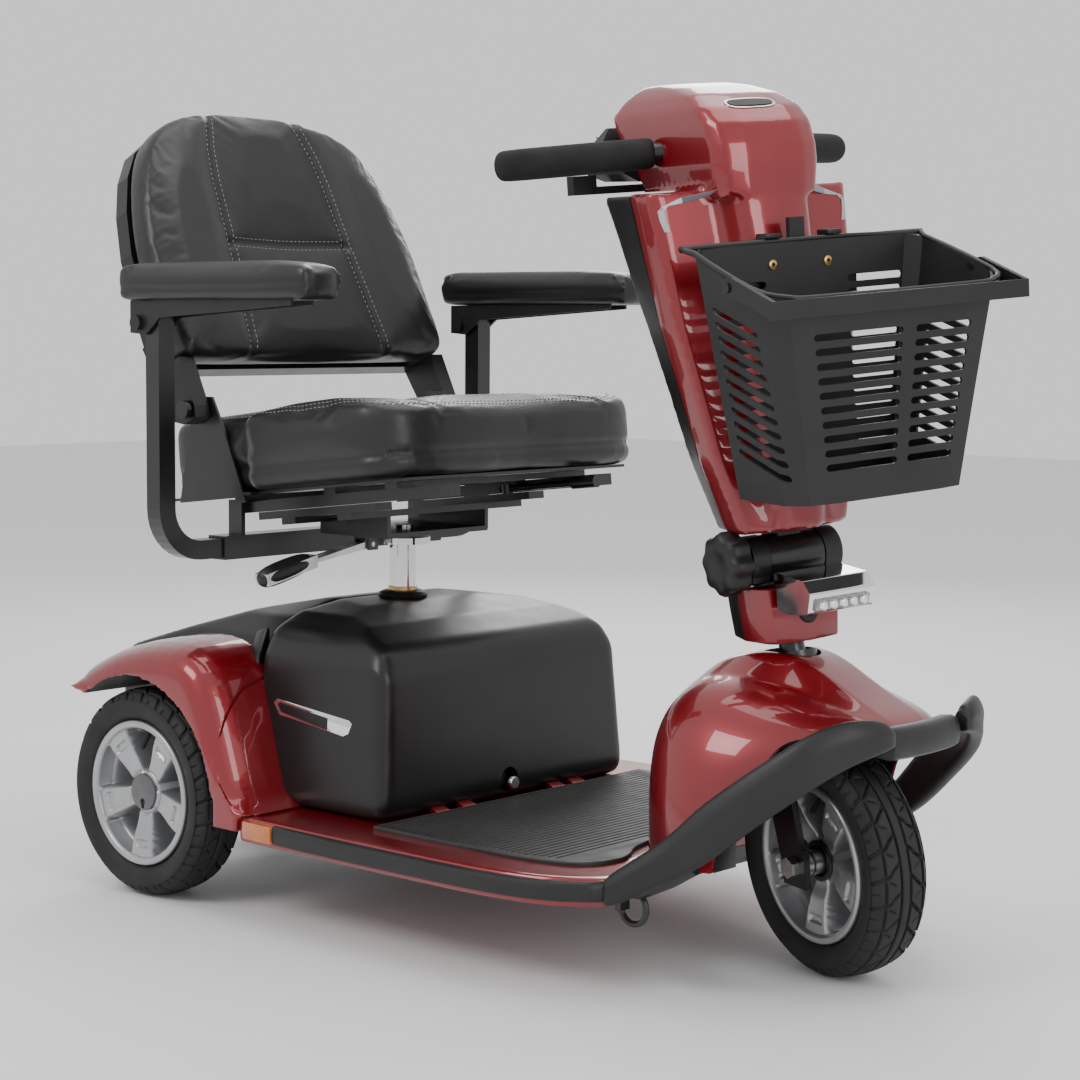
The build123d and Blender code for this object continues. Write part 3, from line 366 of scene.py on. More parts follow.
light('key', (-0.6, -2.6, 2.6), (0, 0, 0.4), 1.6, 42, 1.2)
light('top', (0.1, 0.3, 3.0), (0, 0, 0.4), 2.2, 34, 2.2)
light('front', (2.9, -0.6, 1.5), (0, 0, 0.5), 1.0, 22, 1.6)
light('rim', (-1.8, 2.3, 2.0), (0, 0, 0.5), 1.2, 30, 1.6)

cam = bpy.data.cameras.new('camera'); co_ = bpy.data.objects.new('camera', cam); sc.collection.objects.link(co_)
cam.sensor_width = 36; cam.lens = 79.2; cam.clip_start = 0.05; cam.clip_end = 60
cam.dof.use_dof = False
R_ = np.array([[0.74818985, 0.66345183, 0.00660438], [0.06563027, -0.06410017, -0.99578303], [-0.66023073, 0.7454682, -0.0915016]])
mw = Matrix(((R_[0][0], -R_[1][0], -R_[2][0], 0), (R_[0][1], -R_[1][1], -R_[2][1], 0), (R_[0][2], -R_[1][2], -R_[2][2], 0), (0, 0, 0, 1)))
mw.translation = Vector(((1796.65 + X0) / 1000, -2.09397, 0.69923))
co_.matrix_world = mw
sc.camera = co_

fl = bpy.data.meshes.new('floor'); n_ = 3.4
fl.from_pydata([(-9, -9, 0), (9, -9, 0), (9, 9, 0), (-9, 9, 0)], [], [(0, 1, 2, 3)])
flo = bpy.data.objects.new('floor', fl); sc.collection.objects.link(flo)
mat('m_floor', (0.80, 0.80, 0.80), (0.78, 0.78, 0.78), r=(0.6, 0.7), cs=1)
flo.data.materials.append(MATS['m_floor'])

# ------------------------------------------------------------------ wheels
def sstep(a, b, x):
    t = np.clip((x - a) / (b - a), 0, 1)
    return t * t * (3 - 2 * t)


def tyre_mesh(name, T):
    """tyre of 254 mm across, local x-z circle plane, y across; real block tread"""
    NT = 624
    half = [(88.2, 25.5), (90.5, 28.8), (93.5, 31.5), (97.5, 33.6), (102.5, 35.6), (107, 36.6), (110.5, 36.9), (113.3, 36.4)]
    ys = [36.0, 35.3, 34.4, 33.3, 32.2, 31.0, 29.8, 28.6, 27.4, 26.3, 25.6, 24.9, 24.2, 23.5, 22.8, 21.6, 20.2, 18.8, 17.4, 16.0, 14.6, 13.2, 11.8, 10.4, 9.2, 8.3, 7.6, 6.9, 6.2, 5.5, 4.8, 4.1, 3.4, 2.2, 1.0]
    def crown(y):
        y = abs(y)
        return 127.0 - 0.0052 * y * y if y < 24 else 127.0 - 0.0052 * y * y - 9.2 * ((y - 24) / 12.3) ** 2.2
    prof = [(r, y, 0) for r, y in half] + [(crown(y), y, 1) for y in ys]
    prof = prof + [(crown(0), 0, 1)] + [(r, -y, k) for r, y, k in prof[::-1]]
    R = np.array([p[0] for p in prof]); Y = np.array([p[1] for p in prof]); K = np.array([p[2] for p in prof])
    th = np.linspace(0, 2 * np.pi, NT, endpoint=False)
    TH, YY = np.meshgrid(th, Y, indexing='ij'); RR = np.tile(R, (NT, 1)); KK = np.tile(K, (NT, 1))
    s = TH / (2 * np.pi)
    ay = np.abs(YY); sg = np.where(YY >= 0, 0.0, 0.5)
    e = 0.55
    g1 = sstep(4.3 - e, 4.3 + e, ay) * (1 - sstep(7.2 - e, 7.2 + e, ay))                       # groove beside the centre rib
    g2 = sstep(22.6 - e, 22.6 + e, ay) * (1 - sstep(25.0 - e, 25.0 + e, ay))                   # groove between the block rows
    nb = 26
    ph = (s * nb + sg + 0.035 * (ay - 14)) % 1.0                                               # slanted gaps of the main blocks
    d1 = np.abs(ph - 0.5) * (2 * np.pi * 125 / nb)
    gA = (1 - sstep(1.3, 2.6, d1)) * sstep(6.6, 7.4, ay) * (1 - sstep(22.3, 23.0, ay))
    ph3 = (s * nb + sg + 0.5 - 0.02 * (ay - 14)) % 1.0                                         # short sipe in each block
    d3 = np.abs(ph3 - 0.5) * (2 * np.pi * 125 / nb)
    gC = 0.55 * (1 - sstep(0.7, 1.6, d3)) * sstep(11.2, 12.4, ay) * (1 - sstep(19.0, 20.0, ay))
    ph2 = (s * nb + sg + 0.32 + 0.02 * (ay - 30)) % 1.0
    d2 = np.abs(ph2 - 0.5) * (2 * np.pi * 122 / nb)
    gB = (1 - sstep(1.5, 2.8, d2)) * sstep(24.6, 25.3, ay) * (1 - sstep(34.6, 36.0, ay))
    ph4 = (s * nb + sg + 0.82) % 1.0
    d4 = np.abs(ph4 - 0.5) * (2 * np.pi * 122 / nb)
    gD = 0.6 * (1 - sstep(0.8, 1.8, d4)) * sstep(29.5, 30.6, ay) * (1 - sstep(34.6, 36.0, ay))
    g = np.maximum.reduce([g1, g2, gA, gB, gC, gD]) * KK
    RR = RR - 3.4 * g
    YY2 = YY - np.sign(YY) * g * 1.0 * (ay > 29)
    V = np.stack([RR * np.cos(TH), YY2, RR * np.sin(TH)], -1).reshape(-1, 3)
    m = len(prof)
    F = []
    for i in range(NT):
        a, b = i * m, ((i + 1) % NT) * m
        for k in range(m):
            F.append((a + k, b + k, b + (k + 1) % m, a + (k + 1) % m))
    o = make(name, V, F, T)
    return o


def rim_mesh(name, T, bore, front=False):
    """five-spoke rim; +y is the outer side"""
    NT = 360
    rs_ = np.array([22, 24, 26.5, 29, 32, 35, 38, 41, 44, 47, 50, 53, 56, 58, 59.5, 61, 63, 65, 67, 68.5, 70, 71.5, 73, 74.5, 76, 77.5])
    th = np.linspace(0, 2 * np.pi, NT, endpoint=False)
    TH, R = np.meshgrid(th, rs_, indexing='ij')
    # nearest spoke, one points straight down
    a = (TH + np.pi / 2 + np.pi / 5) % (2 * np.pi / 5) - np.pi / 5
    t = R * np.sin(a); rad = R * np.cos(a)
    hw = 11.6 + (R - 26) * 0.155                     # spokes widen outwards
    edge = np.abs(t) - hw
    inspoke = 1 - sstep(-0.6, 2.0, edge)
    hub = 1 - sstep(27.0, 29.5, R)
    inspoke = np.maximum(inspoke, hub)
    top = 21.0 + 6.5 * sstep(30, 74, R) - 1.5 * sstep(-2.2, 0, edge)       # spokes rise towards the lip
    if front:
        top = top - 5.0 * (1 - sstep(24, 44, R))
    # recess near the outer end of each spoke
    rc = sstep(58.6, 60.4, rad) * (1 - sstep(66.6, 68.4, rad)) * (1 - sstep(10.0, 11.8, np.abs(t)))
    top = top - 3.2 * rc
    # bowl between the spokes, with the barrel curving up to the lip
    bowl = -20.0 + 30.0 * sstep(62, 78, R) + 6.0 * (1 - sstep(28, 42, R))
    Y = np.where(True, bowl + (top - bowl) * inspoke, 0)
    Y = Y + 0.0
    if not front:                                     # hub cap ring groove
        Y = Y - 2.2 * (1 - sstep(0.4, 1.4, np.abs(R - 26.0))) * (R < 28.5)
    V = np.stack([R * np.cos(TH), Y, R * np.sin(TH)], -1).reshape(-1, 3)
    m = len(rs_)
    # outer lip and barrel as further rings
    lip = [(78.6, 27.6), (79.6, 30.6), (81.4, 32.2), (84.0, 33.0), (86.8, 32.8), (88.4, 31.0), (88.6, 27.0), (87.6, 25.2), (87.4, 10), (87.4, -10), (87.6, -25.2), (88.6, -27), (88.4, -31), (86.8, -32.8), (82.5, -33), (79.5, -30), (78.0, -26), (76, -24.5), (60, -24), (40, -24), (28, -25), (22, -25)]
    ring = []
    for r, y in lip:
        ring.append(np.stack([r * np.cos(th), np.full(NT, float(y)), r * np.sin(th)], -1))
    n0 = NT * m
    V2 = np.concatenate([V] + ring)
    F = []
    for i in range(NT):
        j = (i + 1) % NT
        for k in range(m - 1):
            F.append((i * m + k, i * m + k + 1, j * m + k + 1, j * m + k))
        F.append((i * m + m - 1, n0 + i, n0 + j, j * m + m - 1))
        for q in range(len(lip) - 1):
            F.append((n0 + q * NT + i, n0 + (q + 1) * NT + i, n0 + (q + 1) * NT + j, n0 + q * NT + j))
        L_ = n0 + (len(lip) - 1) * NT
        F.append((L_ + i, i * m, j * m, L_ + j))
    return make(name, V2, F, T)


def place(cx, cy_, cz, sgn, then=same):
    return lambda p: then(np.c_[p[:, 0] + cx, p[:, 1] * sgn + cy_, p[:, 2] + cz])


for side, sg in (('left', 1), ('right', -1)):
    T = place(-450, 258 * sg, 127, sg)
    body = 'rear_wheel_' + side
    put(tyre_mesh('rear_tyre_%s_tread' % side, T), 'm_tyre', body, 'rear_tyre_' + side, 50)
    put(rim_mesh('rear_rim_%s_spokes' % side, T, 12), 'm_alloy', body, (), 50)
    # hub cap with its key notch
    cap = make('hub_cap_' + side, *turned([(14, 22.5), (23.2, 22.5), (24.0, 21.9), (24.3, 20.6), (24.4, 10), (24.4, 1)], (0, 0, 0), (0, 1, 0), 64), T)
    nt_ = make('cutn', *both(prism([(-2.6, -20), (2.6, -20), (2.6, -13.2), (-2.6, -13.2)], 'y', 20, 30), turned([(20, 4.4), (30, 4.4)], (0, 0, -12.2), (0, 1, 0), 24)), T)
    nt_ = voxel(nt_, 0.6, 0)
    boolean(cap, nt_)
    put(cap, 'm_grey', body, (), 40)
    sh = make('axle_shaft_' + side, *turned([(-110, 11.2), (-109, 12), (16, 12), (17, 11)], (0, 0, 0), (0, 1, 0), 40), T)
    put(sh, 'm_zinc', body, 'rear_rim_' + side, 40)

TF = place(366, 0, 127, -1, turn)
put(tyre_mesh('front_tyre_tread', TF), 'm_tyre', 'front_wheel', 'front_tyre', 50)
r1 = rim_mesh('front_rim_spokes', TF, 14, True)
put(r1, 'm_alloy', 'front_wheel', 'front_rim', 50)
hubf = make('front_hub_bore', *both(turned([(15.2, 22.4), (19.6, 22.4), (20.2, 21.6), (20.2, 17.6), (19.4, 17), (15.2, 17)], (0, 0, 0), (0, 1, 0), 48), turned([(15.4, 13.6), (18.6, 13.6), (19.0, 12.6), (19.0, 9.6), (15.4, 9.6)], (0, 0, 0), (0, 1, 0), 40)), TF)
put(hubf, 'm_steel', 'front_wheel', (), 40)
# valve stems
for nm, T, body in (('valve_left', place(-450, 258, 127, 1), 'rear_wheel_left'), ('valve_right', place(-450, -258, 127, -1), 'rear_wheel_right'), ('valve_front', TF, 'front_wheel')):
    a_ = math.radians(54 + 36)
    q = np.array([math.cos(a_), 0, math.sin(a_)])
    v = make(nm, *turned([(0, 3.4), (6, 3.2), (9, 2.6), (20, 2.6), (21, 3.1), (27, 3.1), (28, 2.2)], q * 76 + np.array([0, 8, 0]), -q * 0.8 + np.array([0, 0.6, 0]), 20), T)
    put(v, 'm_tyre', body, (), 40)

# ------------------------------------------------------------------ bodywork
def cr(pts, k=4, close=False):
    """smooth line through the points"""
    P = [np.array(p, float) for p in pts]; n = len(P); out = []
    for i in range(n if close else n - 1):
        p0 = P[(i - 1) % n] if (close or i > 0) else P[i]
        p1 = P[i]; p2 = P[(i + 1) % n]
        p3 = P[(i + 2) % n] if (close or i + 2 < n) else P[(i + 1) % n]
        for j in range(k):
            t = j / k
            out.append(0.5 * (2 * p1 + (p2 - p0) * t + (2 * p0 - 5 * p1 + 4 * p2 - p3) * t * t + (3 * p1 - p0 - 3 * p2 + p3) * t ** 3))
    if not close:
        out.append(P[-1])
    return [tuple(p) for p in out]


def paint_shade_faces(o, m2, test, T_inv=None):
    """faces whose centre (model mm) passes the test take the second finish, a dark material painted in as shade"""
    o.data.materials.append(MATS[m2])
    for p in o.data.polygons:
        c = p.center
        if test(c.x * 1000 - X0, c.y * 1000, c.z * 1000):
            p.material_index = 1


# battery cover
cs = [(-323, 126.3), (-106, 126.3), (-102, 150), (-110, 290), (-122, 322), (-180, 343), (-250, 356), (-323, 360)]
cp = [(-219, 120), (-215, 180), (-207, 300), (-192, 332), (-150, 350), (-60, 362), (60, 362), (150, 350), (192, 332), (207, 300), (215, 180), (219, 120)]
o = make('battery_cover_shell', *prism(cs, 'y', -240, 240))
boolean(o, make('tmp', *prism(cp, 'x', -340, -80)), 'INTERSECT')
b_ = o.modifiers.new('v', 'BEVEL'); b_.width = 0.015; b_.segments = 3; b_.limit_method = 'ANGLE'; b_.angle_limit = math.radians(35)
bake(o)
voxel(o, 3.6, 9)
boolean(o, make('tmp', *turned([(0, 21), (60, 21)], (-286, 0, 330), (0, 0, 1), 48)))
# half round notch at the foot of the front face
nt_ = make('tmp', *turned([(-20, 15), (20, 15)], (-104, -2, 150), (1, 0, 0), 48))
boolean(o, nt_)
put(o, 'm_shell', 'chassis', 'battery_cover', 45)
o = make('battery_cover_collar', *turned([(0, 19.5), (0, 30), (3, 31), (6, 29), (8, 24), (8, 19.5), (0, 19.5)][:6], (-286, 0, 357), (0, 0, 1), 48))
put(o, 'm_plastic', 'chassis', (), 40)
# thumbscrew in the notch
kv = turned([(0, 3.5), (6, 3.5), (6.5, 7.6), (14, 7.6), (15, 6.8), (15.2, 3), (15.2, 0.5)], (-108, -2, 147), (1, 0, 0), 28)
o = make('cover_thumbscrew', *kv)
put(o, 'm_chrome', 'chassis', 'body_screws', 40)
for i, (y_) in enumerate((-125, -80, 80, 118)):
    o = make('cover_tab_%d' % i, *prism([(-107, 128), (-94, 128), (-94, 131), (-104, 135), (-107, 135)], 'y', y_ - 11, y_ + 11))
    bevel(o, 1.0, 2); put(o, 'm_red', 'chassis', (), 40)
# blank badge plates on the sides
for i, s in enumerate((1, -1)):
    xs = lambda f: -289 + f * 129
    outl = [(-292, 249), (-286, 236), (-178, 219), (-168, 222), (-160, 236), (-166, 241), (-180, 240)]
    outl = [(-292, 247), (-281, 233), (-172, 220), (-163, 224), (-158, 236), (-163, 240), (-286, 252)]
    pl = make('side_badge_%s' % 'lr'[i], *prism(outl, 'y', 200, 210.5))
    V = coords(pl); z = V[:, 2] * 1000
    face_y = 219 - (z - 120) * 0.0667 + 0.3
    V[:, 1] = np.where(V[:, 1] * 1000 > 205, face_y + 0.6, face_y - 2.5) / 1000 * s
    setco(pl, V)
    if s < 0:
        pl.data.flip_normals()
    bevel(pl, 0.9, 2); put(pl, 'm_chrome', 'chassis', (), 40)
    ins = [(-284, 245.5), (-278, 237), (-198, 224.6), (-198, 238.5), (-281, 248.5)]
    pl = make('side_badge_insert_%s' % 'lr'[i], *prism(ins, 'y', 200, 210.5))
    V = coords(pl); z = V[:, 2] * 1000
    face_y = 219 - (z - 120) * 0.0667 + 0.3
    V[:, 1] = np.where(V[:, 1] * 1000 > 205, face_y + 1.0, face_y - 2.0) / 1000 * s
    setco(pl, V)
    if s < 0:
        pl.data.flip_normals()
    bevel(pl, 0.3, 2); put(pl, 'm_dark', 'chassis', (), 40)

# tail cover
rs = [(-324.5, 128), (-324.5, 357), (-345, 357), (-400, 345), (-500, 314), (-585, 287), (-602, 268), (-604, 215), (-588, 196), (-586, 182), (-335, 182), (-335, 128)]
rp = [(-190, 100), (-190, 292), (-176, 316), (-146, 340), (-60, 360), (60, 360), (146, 340), (176, 316), (190, 292), (190, 100)]
o = make('tail_cover', *prism(rs, 'y', -220, 220))
boolean(o, make('tmp', *prism(rp, 'x', -640, -300)), 'INTERSECT')
b_ = o.modifiers.new('v', 'BEVEL'); b_.width = 0.012; b_.segments = 3; b_.limit_method = 'ANGLE'; b_.angle_limit = math.radians(35)
bake(o)
voxel(o, 3.8, 7)
put(o, 'm_shell', 'chassis', 'rear_cover', 45)
# side filler between the tail cover, the fender and the battery cover
for s, nm in ((1, 'l'), (-1, 'r')):
    vf = loft([[(-325.0, y, z) for y, z in ((186, 126), (186, 330), (191, 334), (206, 300), (214, 180), (217, 127))], [(-346, y, z) for y, z in ((186, 126), (186, 322), (190, 325), (203, 296), (209, 180), (212, 127))]])
    if s < 0: vf = flip_y(vf)
    o = make('tail_side_band_' + nm, *vf); bevel(o, 3.5, 3); put(o, 'm_shell', 'chassis', (), 40)

# rear fenders
fo = cr([(-574, 246), (-566, 266), (-548, 281), (-494, 303), (-425, 316), (-365, 314), (-326, 290), (-300, 238), (-276, 170), (-262, 142), (-240, 127)], 3)
arc = [(-450 + 146 * math.cos(math.radians(a)), 127 + 146 * math.sin(math.radians(a))) for a in range(-8, 134, 6)]
def fend(d):
    r = []
    for i, (x, z) in enumerate(fo):
        a = np.array(fo[max(i - 1, 0)]); b = np.array(fo[min(i + 1, len(fo) - 1)])
        t = (b - a) / np.linalg.norm(b - a); nrm = np.array([t[1], -t[0]])
        dd = d * (1 if i > 2 else i / 3) * (1 if i < len(fo) - 6 else max(0.15, (len(fo) - 1 - i) / 6))
        r.append((x + nrm[0] * dd, z + nrm[1] * dd))
    return r + [(-262, 127), (-262, 107)] + arc
for s, nm in ((1, 'left'), (-1, 'right')):
    secs = []
    for y, d in ((191, 0), (215, 0.5), (240, 1.5), (262, 4), (277, 8.5), (287, 14), (293.5, 21), (296.8, 29), (297.8, 38)):
        secs.append([(x, y, z) for x, z in fend(d)])
    vf = loft(secs)
    if s < 0: vf = flip_y(vf)
    o = make('fender_' + nm, *vf)
    voxel(o, 3.2, 5)
    # panel gap across the fender, just behind its front leg
    gp = [(-328, 292, 190), (-333, 292, 300), (-292, 205, 300), (-285, 205, 190)]
    cut = make('tmp', *(lambda q: q if s > 0 else flip_y(q))(loft([[(-318, 186, 300), (-316.4, 186, 300), (-316.4, 186, 270), (-318, 186, 270)],
                                                                 [(-314, 240, 296), (-312.4, 240, 296), (-312.4, 240, 262), (-314, 240, 262)],
                                                                 [(-301, 305, 262), (-299.4, 305, 262), (-299.4, 305, 190), (-301, 305, 190)]])))
    boolean(o, cut)
    o.data.materials.append(MATS['m_red'])
    put(o, 'm_red', 'chassis', 'rear_fenders', 45)
    yy = s
    # painted shade: the faces under the fender, inside the wheel arch and facing the tyre, take the near-black m_dark
    paint_shade_faces(o, 'm_dark', lambda x, y, z: (x + 450) ** 2 + (z - 127) ** 2 < 149 ** 2 and abs(y) < 294.5)

# deck
half = cr([(-262, 291), (-200, 293.5), (-60, 296), (60, 295.5), (130, 292.5), (190, 281), (232, 258), (252, 232), (250, 205), (236, 178), (214, 150)], 3)
def outline(d):
    L_ = []
    for i, (x, y) in enumerate(half):
        a = np.array(half[max(i - 1, 0)]); b = np.array(half[min(i + 1, len(half) - 1)])
        t = (b - a) / np.linalg.norm(b - a)
        L_.append((x - t[1] * -d if i == 0 else x + t[1] * -d * -1 * -1, y) if False else (x + (-d) * (-t[1]), y + (-d) * t[0]))
    return L_ + [(x, -y) for x, y in L_[::-1]]
secs = []
for z, d in ((95.5, 7), (96.2, 3), (98.5, 1), (101, 0.2), (118, 0), (122.5, 0.6), (125.4, 2.6), (126.6, 6), (126.2, 11)):
    secs.append([(x, y, z) for x, y in outline(d)])
o = make('deck_panel', *loft(secs))
put(o, 'm_red', 'chassis', 'deck_shroud', 35)
# floor mat with ribs
mp = cr([(-96, 238), (60, 239), (120, 238), (176, 226), (202, 206), (211, 176), (206, 150), (188, 118), (178, 82)], 3)
mpo = mp + [(x, -y) for x, y in mp[::-1]]
def ins(p, d):
    c = np.array([70.0, 0.0]); r = []
    for x, y in p:
        v = c - np.array([x, y]); v /= np.linalg.norm(v); r.append((x + v[0] * d, y + v[1] * d))
    return r
o = make('floor_mat_sheet', *loft([[(x, y, 126.0) for x, y in mpo], [(x, y, 129.2) for x, y in mpo], [(x, y, 130.6) for x, y in ins(mpo, 1.2)], [(x, y, 130.9) for x, y in ins(mpo, 4)], [(x, y, 129.9) for x, y in ins(mpo, 6.5)]]))
put(o, 'm_mat', 'chassis', 'floor_mat', 40)
rib = []
xx = -84
while xx < 168:
    yl = 226 if xx < 120 else 226 - (xx - 120) * 0.3
    rib.append(prism([(xx - 1.6, 129.5), (xx + 1.6, 129.5), (xx + 0.9, 130.7), (xx - 0.9, 130.7)], 'y', -yl, yl)); xx += 9
o = make('floor_mat_ribs', *both(*rib)); put(o, 'm_mat', 'chassis', (), 30)
# side trims and reflectors follow the deck edge
def side_strip(name, i0, i1, prof, s, m, rep=()):
    path = half[i0:i1 + 1]; secs = []
    for i, (x, y) in enumerate(path):
        a = np.array(path[max(i - 1, 0)]); b = np.array(path[min(i + 1, len(path) - 1)])
        t = (b - a) / np.linalg.norm(b - a); n = np.array([-t[1], t[0]])
        e = 0.55 if i in (0, len(path) - 1) else 1.0
        secs.append([((x + n[0] * (o_ * e if o_ > 0 else o_)), (y + n[1] * (o_ * e if o_ > 0 else o_)) * s, z_) for o_, z_ in prof])
    o = make(name, *loft(secs))
    return put(o, m, 'chassis', rep, 35)
pr = [(-1.5, 102.5), (3.5, 102.2), (6.6, 104), (8.2, 108), (8.6, 113), (8.2, 118), (6.6, 122), (3.5, 123.9), (-1.5, 123.6)]
for s, nm in ((1, 'left'), (-1, 'right')):
    side_strip('side_trim_' + nm, 3, 20, pr, s, 'm_bumper', 'side_trim_strips')
o = frame["nodes"]["reflectors_and_lamps"]
hx = []
for s in (1, -1):
    pts = [(-252, 292.5), (-225, 293.5), (-199, 294.2)]
    for k in range(2):
        pass
    secs = []
    for x, y, e in ((-252.5, 292.2, 0.2), (-251, 292.3, 0.8), (-247, 292.5, 1), (-226, 293.4, 1), (-203, 294.2, 1), (-201, 294.3, 0.9), (-200.2, 294.3, 0.6)):
        secs.append([(x, (y - 2) * s, 112.8 - 10.6 * (0.75 + 0.25 * e)), (x, (y + 6.0 * e) * s, 112.8 - 10.0 * (0.7 + 0.3 * e)), (x, (y + 7.2 * e) * s, 112.8), (x, (y + 6.0 * e) * s, 112.8 + 10.0 * (0.7 + 0.3 * e)), (x, (y - 2) * s, 112.8 + 10.6 * (0.75 + 0.25 * e))])
    hx.append(loft(secs))
for k, q in enumerate(hx):
    o = make('amber_reflector_' + 'lr'[k], *q); put(o, 'm_amber', 'chassis', 'reflectors_and_lamps', 40)
for s, nm in ((1, 'l'), (-1, 'r')):
    o = make('tail_reflector_' + nm, *prism([(95 * s, 226), (165 * s, 226), (165 * s, 261), (95 * s, 261)], 'x', -611, -603))
    bevel(o, 3, 3); put(o, 'm_redlens', 'chassis', (), 40)
    v = turned([(0, 8.4), (3, 8.2), (4.2, 7), (4.4, 4.6), (3.2, 3.8), (3.2, 0.4)], (236, 259 * s, 113), (0.55, 0.83 * s, 0), 28)
    o = make('trim_screw_' + nm, *v); put(o, 'm_plastic', 'chassis', (), 35)

# ---- hood over the front wheel
ST_ = [  # x, centre z, (wedge edge), (valley), (shoulder), (outer), (side), (foot)
    (184.5, 232, (46, 231), (58, 229), (66, 225), (72, 212), (73, 176), (72, 131)),
    (190, 262, (46, 261), (60, 257), (80, 248), (92, 226), (94, 180), (92, 131)),
    (204, 297, (45, 296), (64, 290), (94, 277), (113, 244), (118, 190), (115, 131)),
    (228, 326, (43, 325), (68, 315), (104, 300), (134, 262), (144, 195), (142, 131)),
    (262, 343, (42, 342), (71, 325), (109, 311), (148, 266), (163, 195), (165, 131)),
    (300, 349, (39, 348.5), (69, 324), (107, 313), (149, 270), (168, 205), (172, 131)),
    (340, 347, (34, 346), (64, 318), (99, 308), (141, 271), (158, 215), (163, 131)),
    (375, 330, (32, 329), (59, 309.5), (89, 302), (125, 270), (139, 225), (143, 131)),
    (405, 313, (31, 312), (54, 302), (79, 296), (108, 269), (119, 235), (122, 131)),
    (432, 300, (31, 299.5), (49, 295.5), (68, 290.5), (90, 268), (97, 240), (99, 131)),
    (452, 291, (30, 290.5), (44, 288.5), (57, 285), (70, 268), (74, 245), (75, 131)),
    (463, 282, (28, 281.5), (38, 280), (47, 277), (54, 267), (56, 250), (56, 131))]
def hood_mesh(name, d, zdrop):
    secs = []
    for i, st in enumerate(ST_):
        x = st[0] + (d if i == 0 else 0) - (d if i == len(ST_) - 1 else 0) + (0.6 * d if 0 < i < 3 else 0)
        h = [(max(y - d, 1), z - d) for y, z in st[2:]]
        h[-1] = (h[-1][0], 131 - zdrop)
        zc = st[1] - d
        secs.append([(x, -y, z) for y, z in h[::-1]] + [(x, 0, zc)] + [(x, y, z) for y, z in h])
    o = make(name, *loft(secs))
    me = o.data; n = len(secs[0])
    cl = me.attributes.new('crease_edge', 'FLOAT', 'EDGE')
    for e in me.edges:
        a, b = e.vertices
        if abs(a - b) == n:
            k = a % n
            if k in (5, 7): cl.data[e.index].value = 0.72
            elif k in (4, 8): cl.data[e.index].value = 0.62
            elif k in (3, 9): cl.data[e.index].value = 0.15
        ra, rb = a // n, b // n
        if ra == rb and ra in (0, len(secs) - 1): cl.data[e.index].value = 0.35
        if (a % n in (0, n - 1)) and (b % n in (0, n - 1)): cl.data[e.index].value = 1.0
    subd(o, 3)
    return o
o = hood_mesh('front_hood_shell', 0, 0)
inn = hood_mesh('tmp', 4.0, 20)
boolean(o, inn)
arch = cr([(322, 100), (332, 165), (342, 196), (354, 218), (367, 241), (378, 262), (390, 271), (406, 273.5), (440, 274), (500, 274)], 3) + [(500, 100)]
boolean(o, make('tmp', *prism(arch, 'y', -220, 220)))
c0 = np.array([366 - 150 * math.sin(RAKE), 0, 130 + 150 * math.cos(RAKE)])
boolean(o, make('tmp', *turned([(0, 30), (130, 30)], c0, AX, 56)))
put(o, 'm_red', 'chassis', 'front_hood', 40)
paint_shade_faces(o, 'm_dark', lambda x, y, z: False)
# painted shade in the arch: faces that look inwards, on the underside of the hood, take the near-black m_dark
for p in o.data.polygons:
    c = p.center; n = p.normal
    cx = c.x * 1000 - X0
    v = Vector((c.x - (330 + X0) / 1000, c.y, c.z - 0.20))
    if n.dot(v) < -0.012:
        p.material_index = 1

# ---- bumper wings and nose
wing = [(250, 247, 99, 128), (262, 244, 100, 136), (309, 227, 126, 172), (349, 213, 149, 212), (397, 194, 189, 251), (440, 168, 225, 283), (468, 134, 250, 299), (483, 104, 262, 301), (489, 80, 268, 297), (488, 68, 270, 290)]
wg = cr(wing, 5)
secs = []
for i, (x, y, zb, zt) in enumerate(wg):
    a = np.array(wg[max(i - 1, 0)][:2]); b = np.array(wg[min(i + 1, len(wg) - 1)][:2])
    t = (b - a) / np.linalg.norm(b - a); n = np.array([-abs(t[1]) if t[1] != 0 else 0, -t[0]])
    n = np.array([t[1], -t[0]]); h = zt - zb
    e = 1.0
    if i < 3: e = 0.45 + 0.18 * i
    if i > len(wg) - 5: e = max(0.35, (len(wg) - i) / 5.0)
    def q(o_, z_): return (x + n[0] * o_, y + n[1] * o_, z_)
    zm = zb + 0.62 * h
    secs.append([q(1.5, zb + 1), q(-0.5 * e, zb + 0.12 * h), q(0.5, zb + 0.36 * h), q(-1.0 * e, zm), q(1.2, zm + 0.14 * h), q(5, zt - 0.06 * h), q(9, zt), q(14, zt + 0.3), q(18, zt - 3), q(20, zt - 9), q(19.5, zb + 0.4 * h), q(18, zb + 1), q(10, zb - 1.5)])
vf = loft(secs)
for s, nm in ((1, 'left'), (-1, 'right')):
    o = make('bumper_wing_' + nm, *(vf if s > 0 else flip_y(vf)))
    subd(o, 1)
    put(o, 'm_bumper', 'chassis', 'front_bumper')
secs = []
for y in (-63, -61.5, -52, -34, -12, 0, 12, 34, 52, 61.5, 63):
    xo = 489.5 - 0.0016 * y * y; e = 0.9 if abs(y) > 62 else 1.0
    zc = 271
    secs.append([(xo - 26, y, zc - 15 * e), (xo - 8, y, zc - 17 * e), (xo - 2, y, zc - 13 * e), (xo, y, zc - 4), (xo - 0.5, y, zc + 6), (xo - 4, y, zc + 14 * e), (xo - 11, y, zc + 16.5 * e), (xo - 26, y, zc + 15 * e)])
o = make('bumper_nose', *loft(secs)); bevel(o, 1.2, 2, 50); put(o, 'm_bumper', 'chassis', (), 50)
# brackets behind the wings
for s, nm in ((1, 'l'), (-1, 'r')):
    v, f = tube([(232, 197 * s, 104), (262, 199 * s, 106), (300, 196 * s, 124), (330, 195 * s, 142)], 7, 10)
    o = make('bumper_stay_' + nm, v, f); put(o, 'm_steel', 'chassis', (), 40)

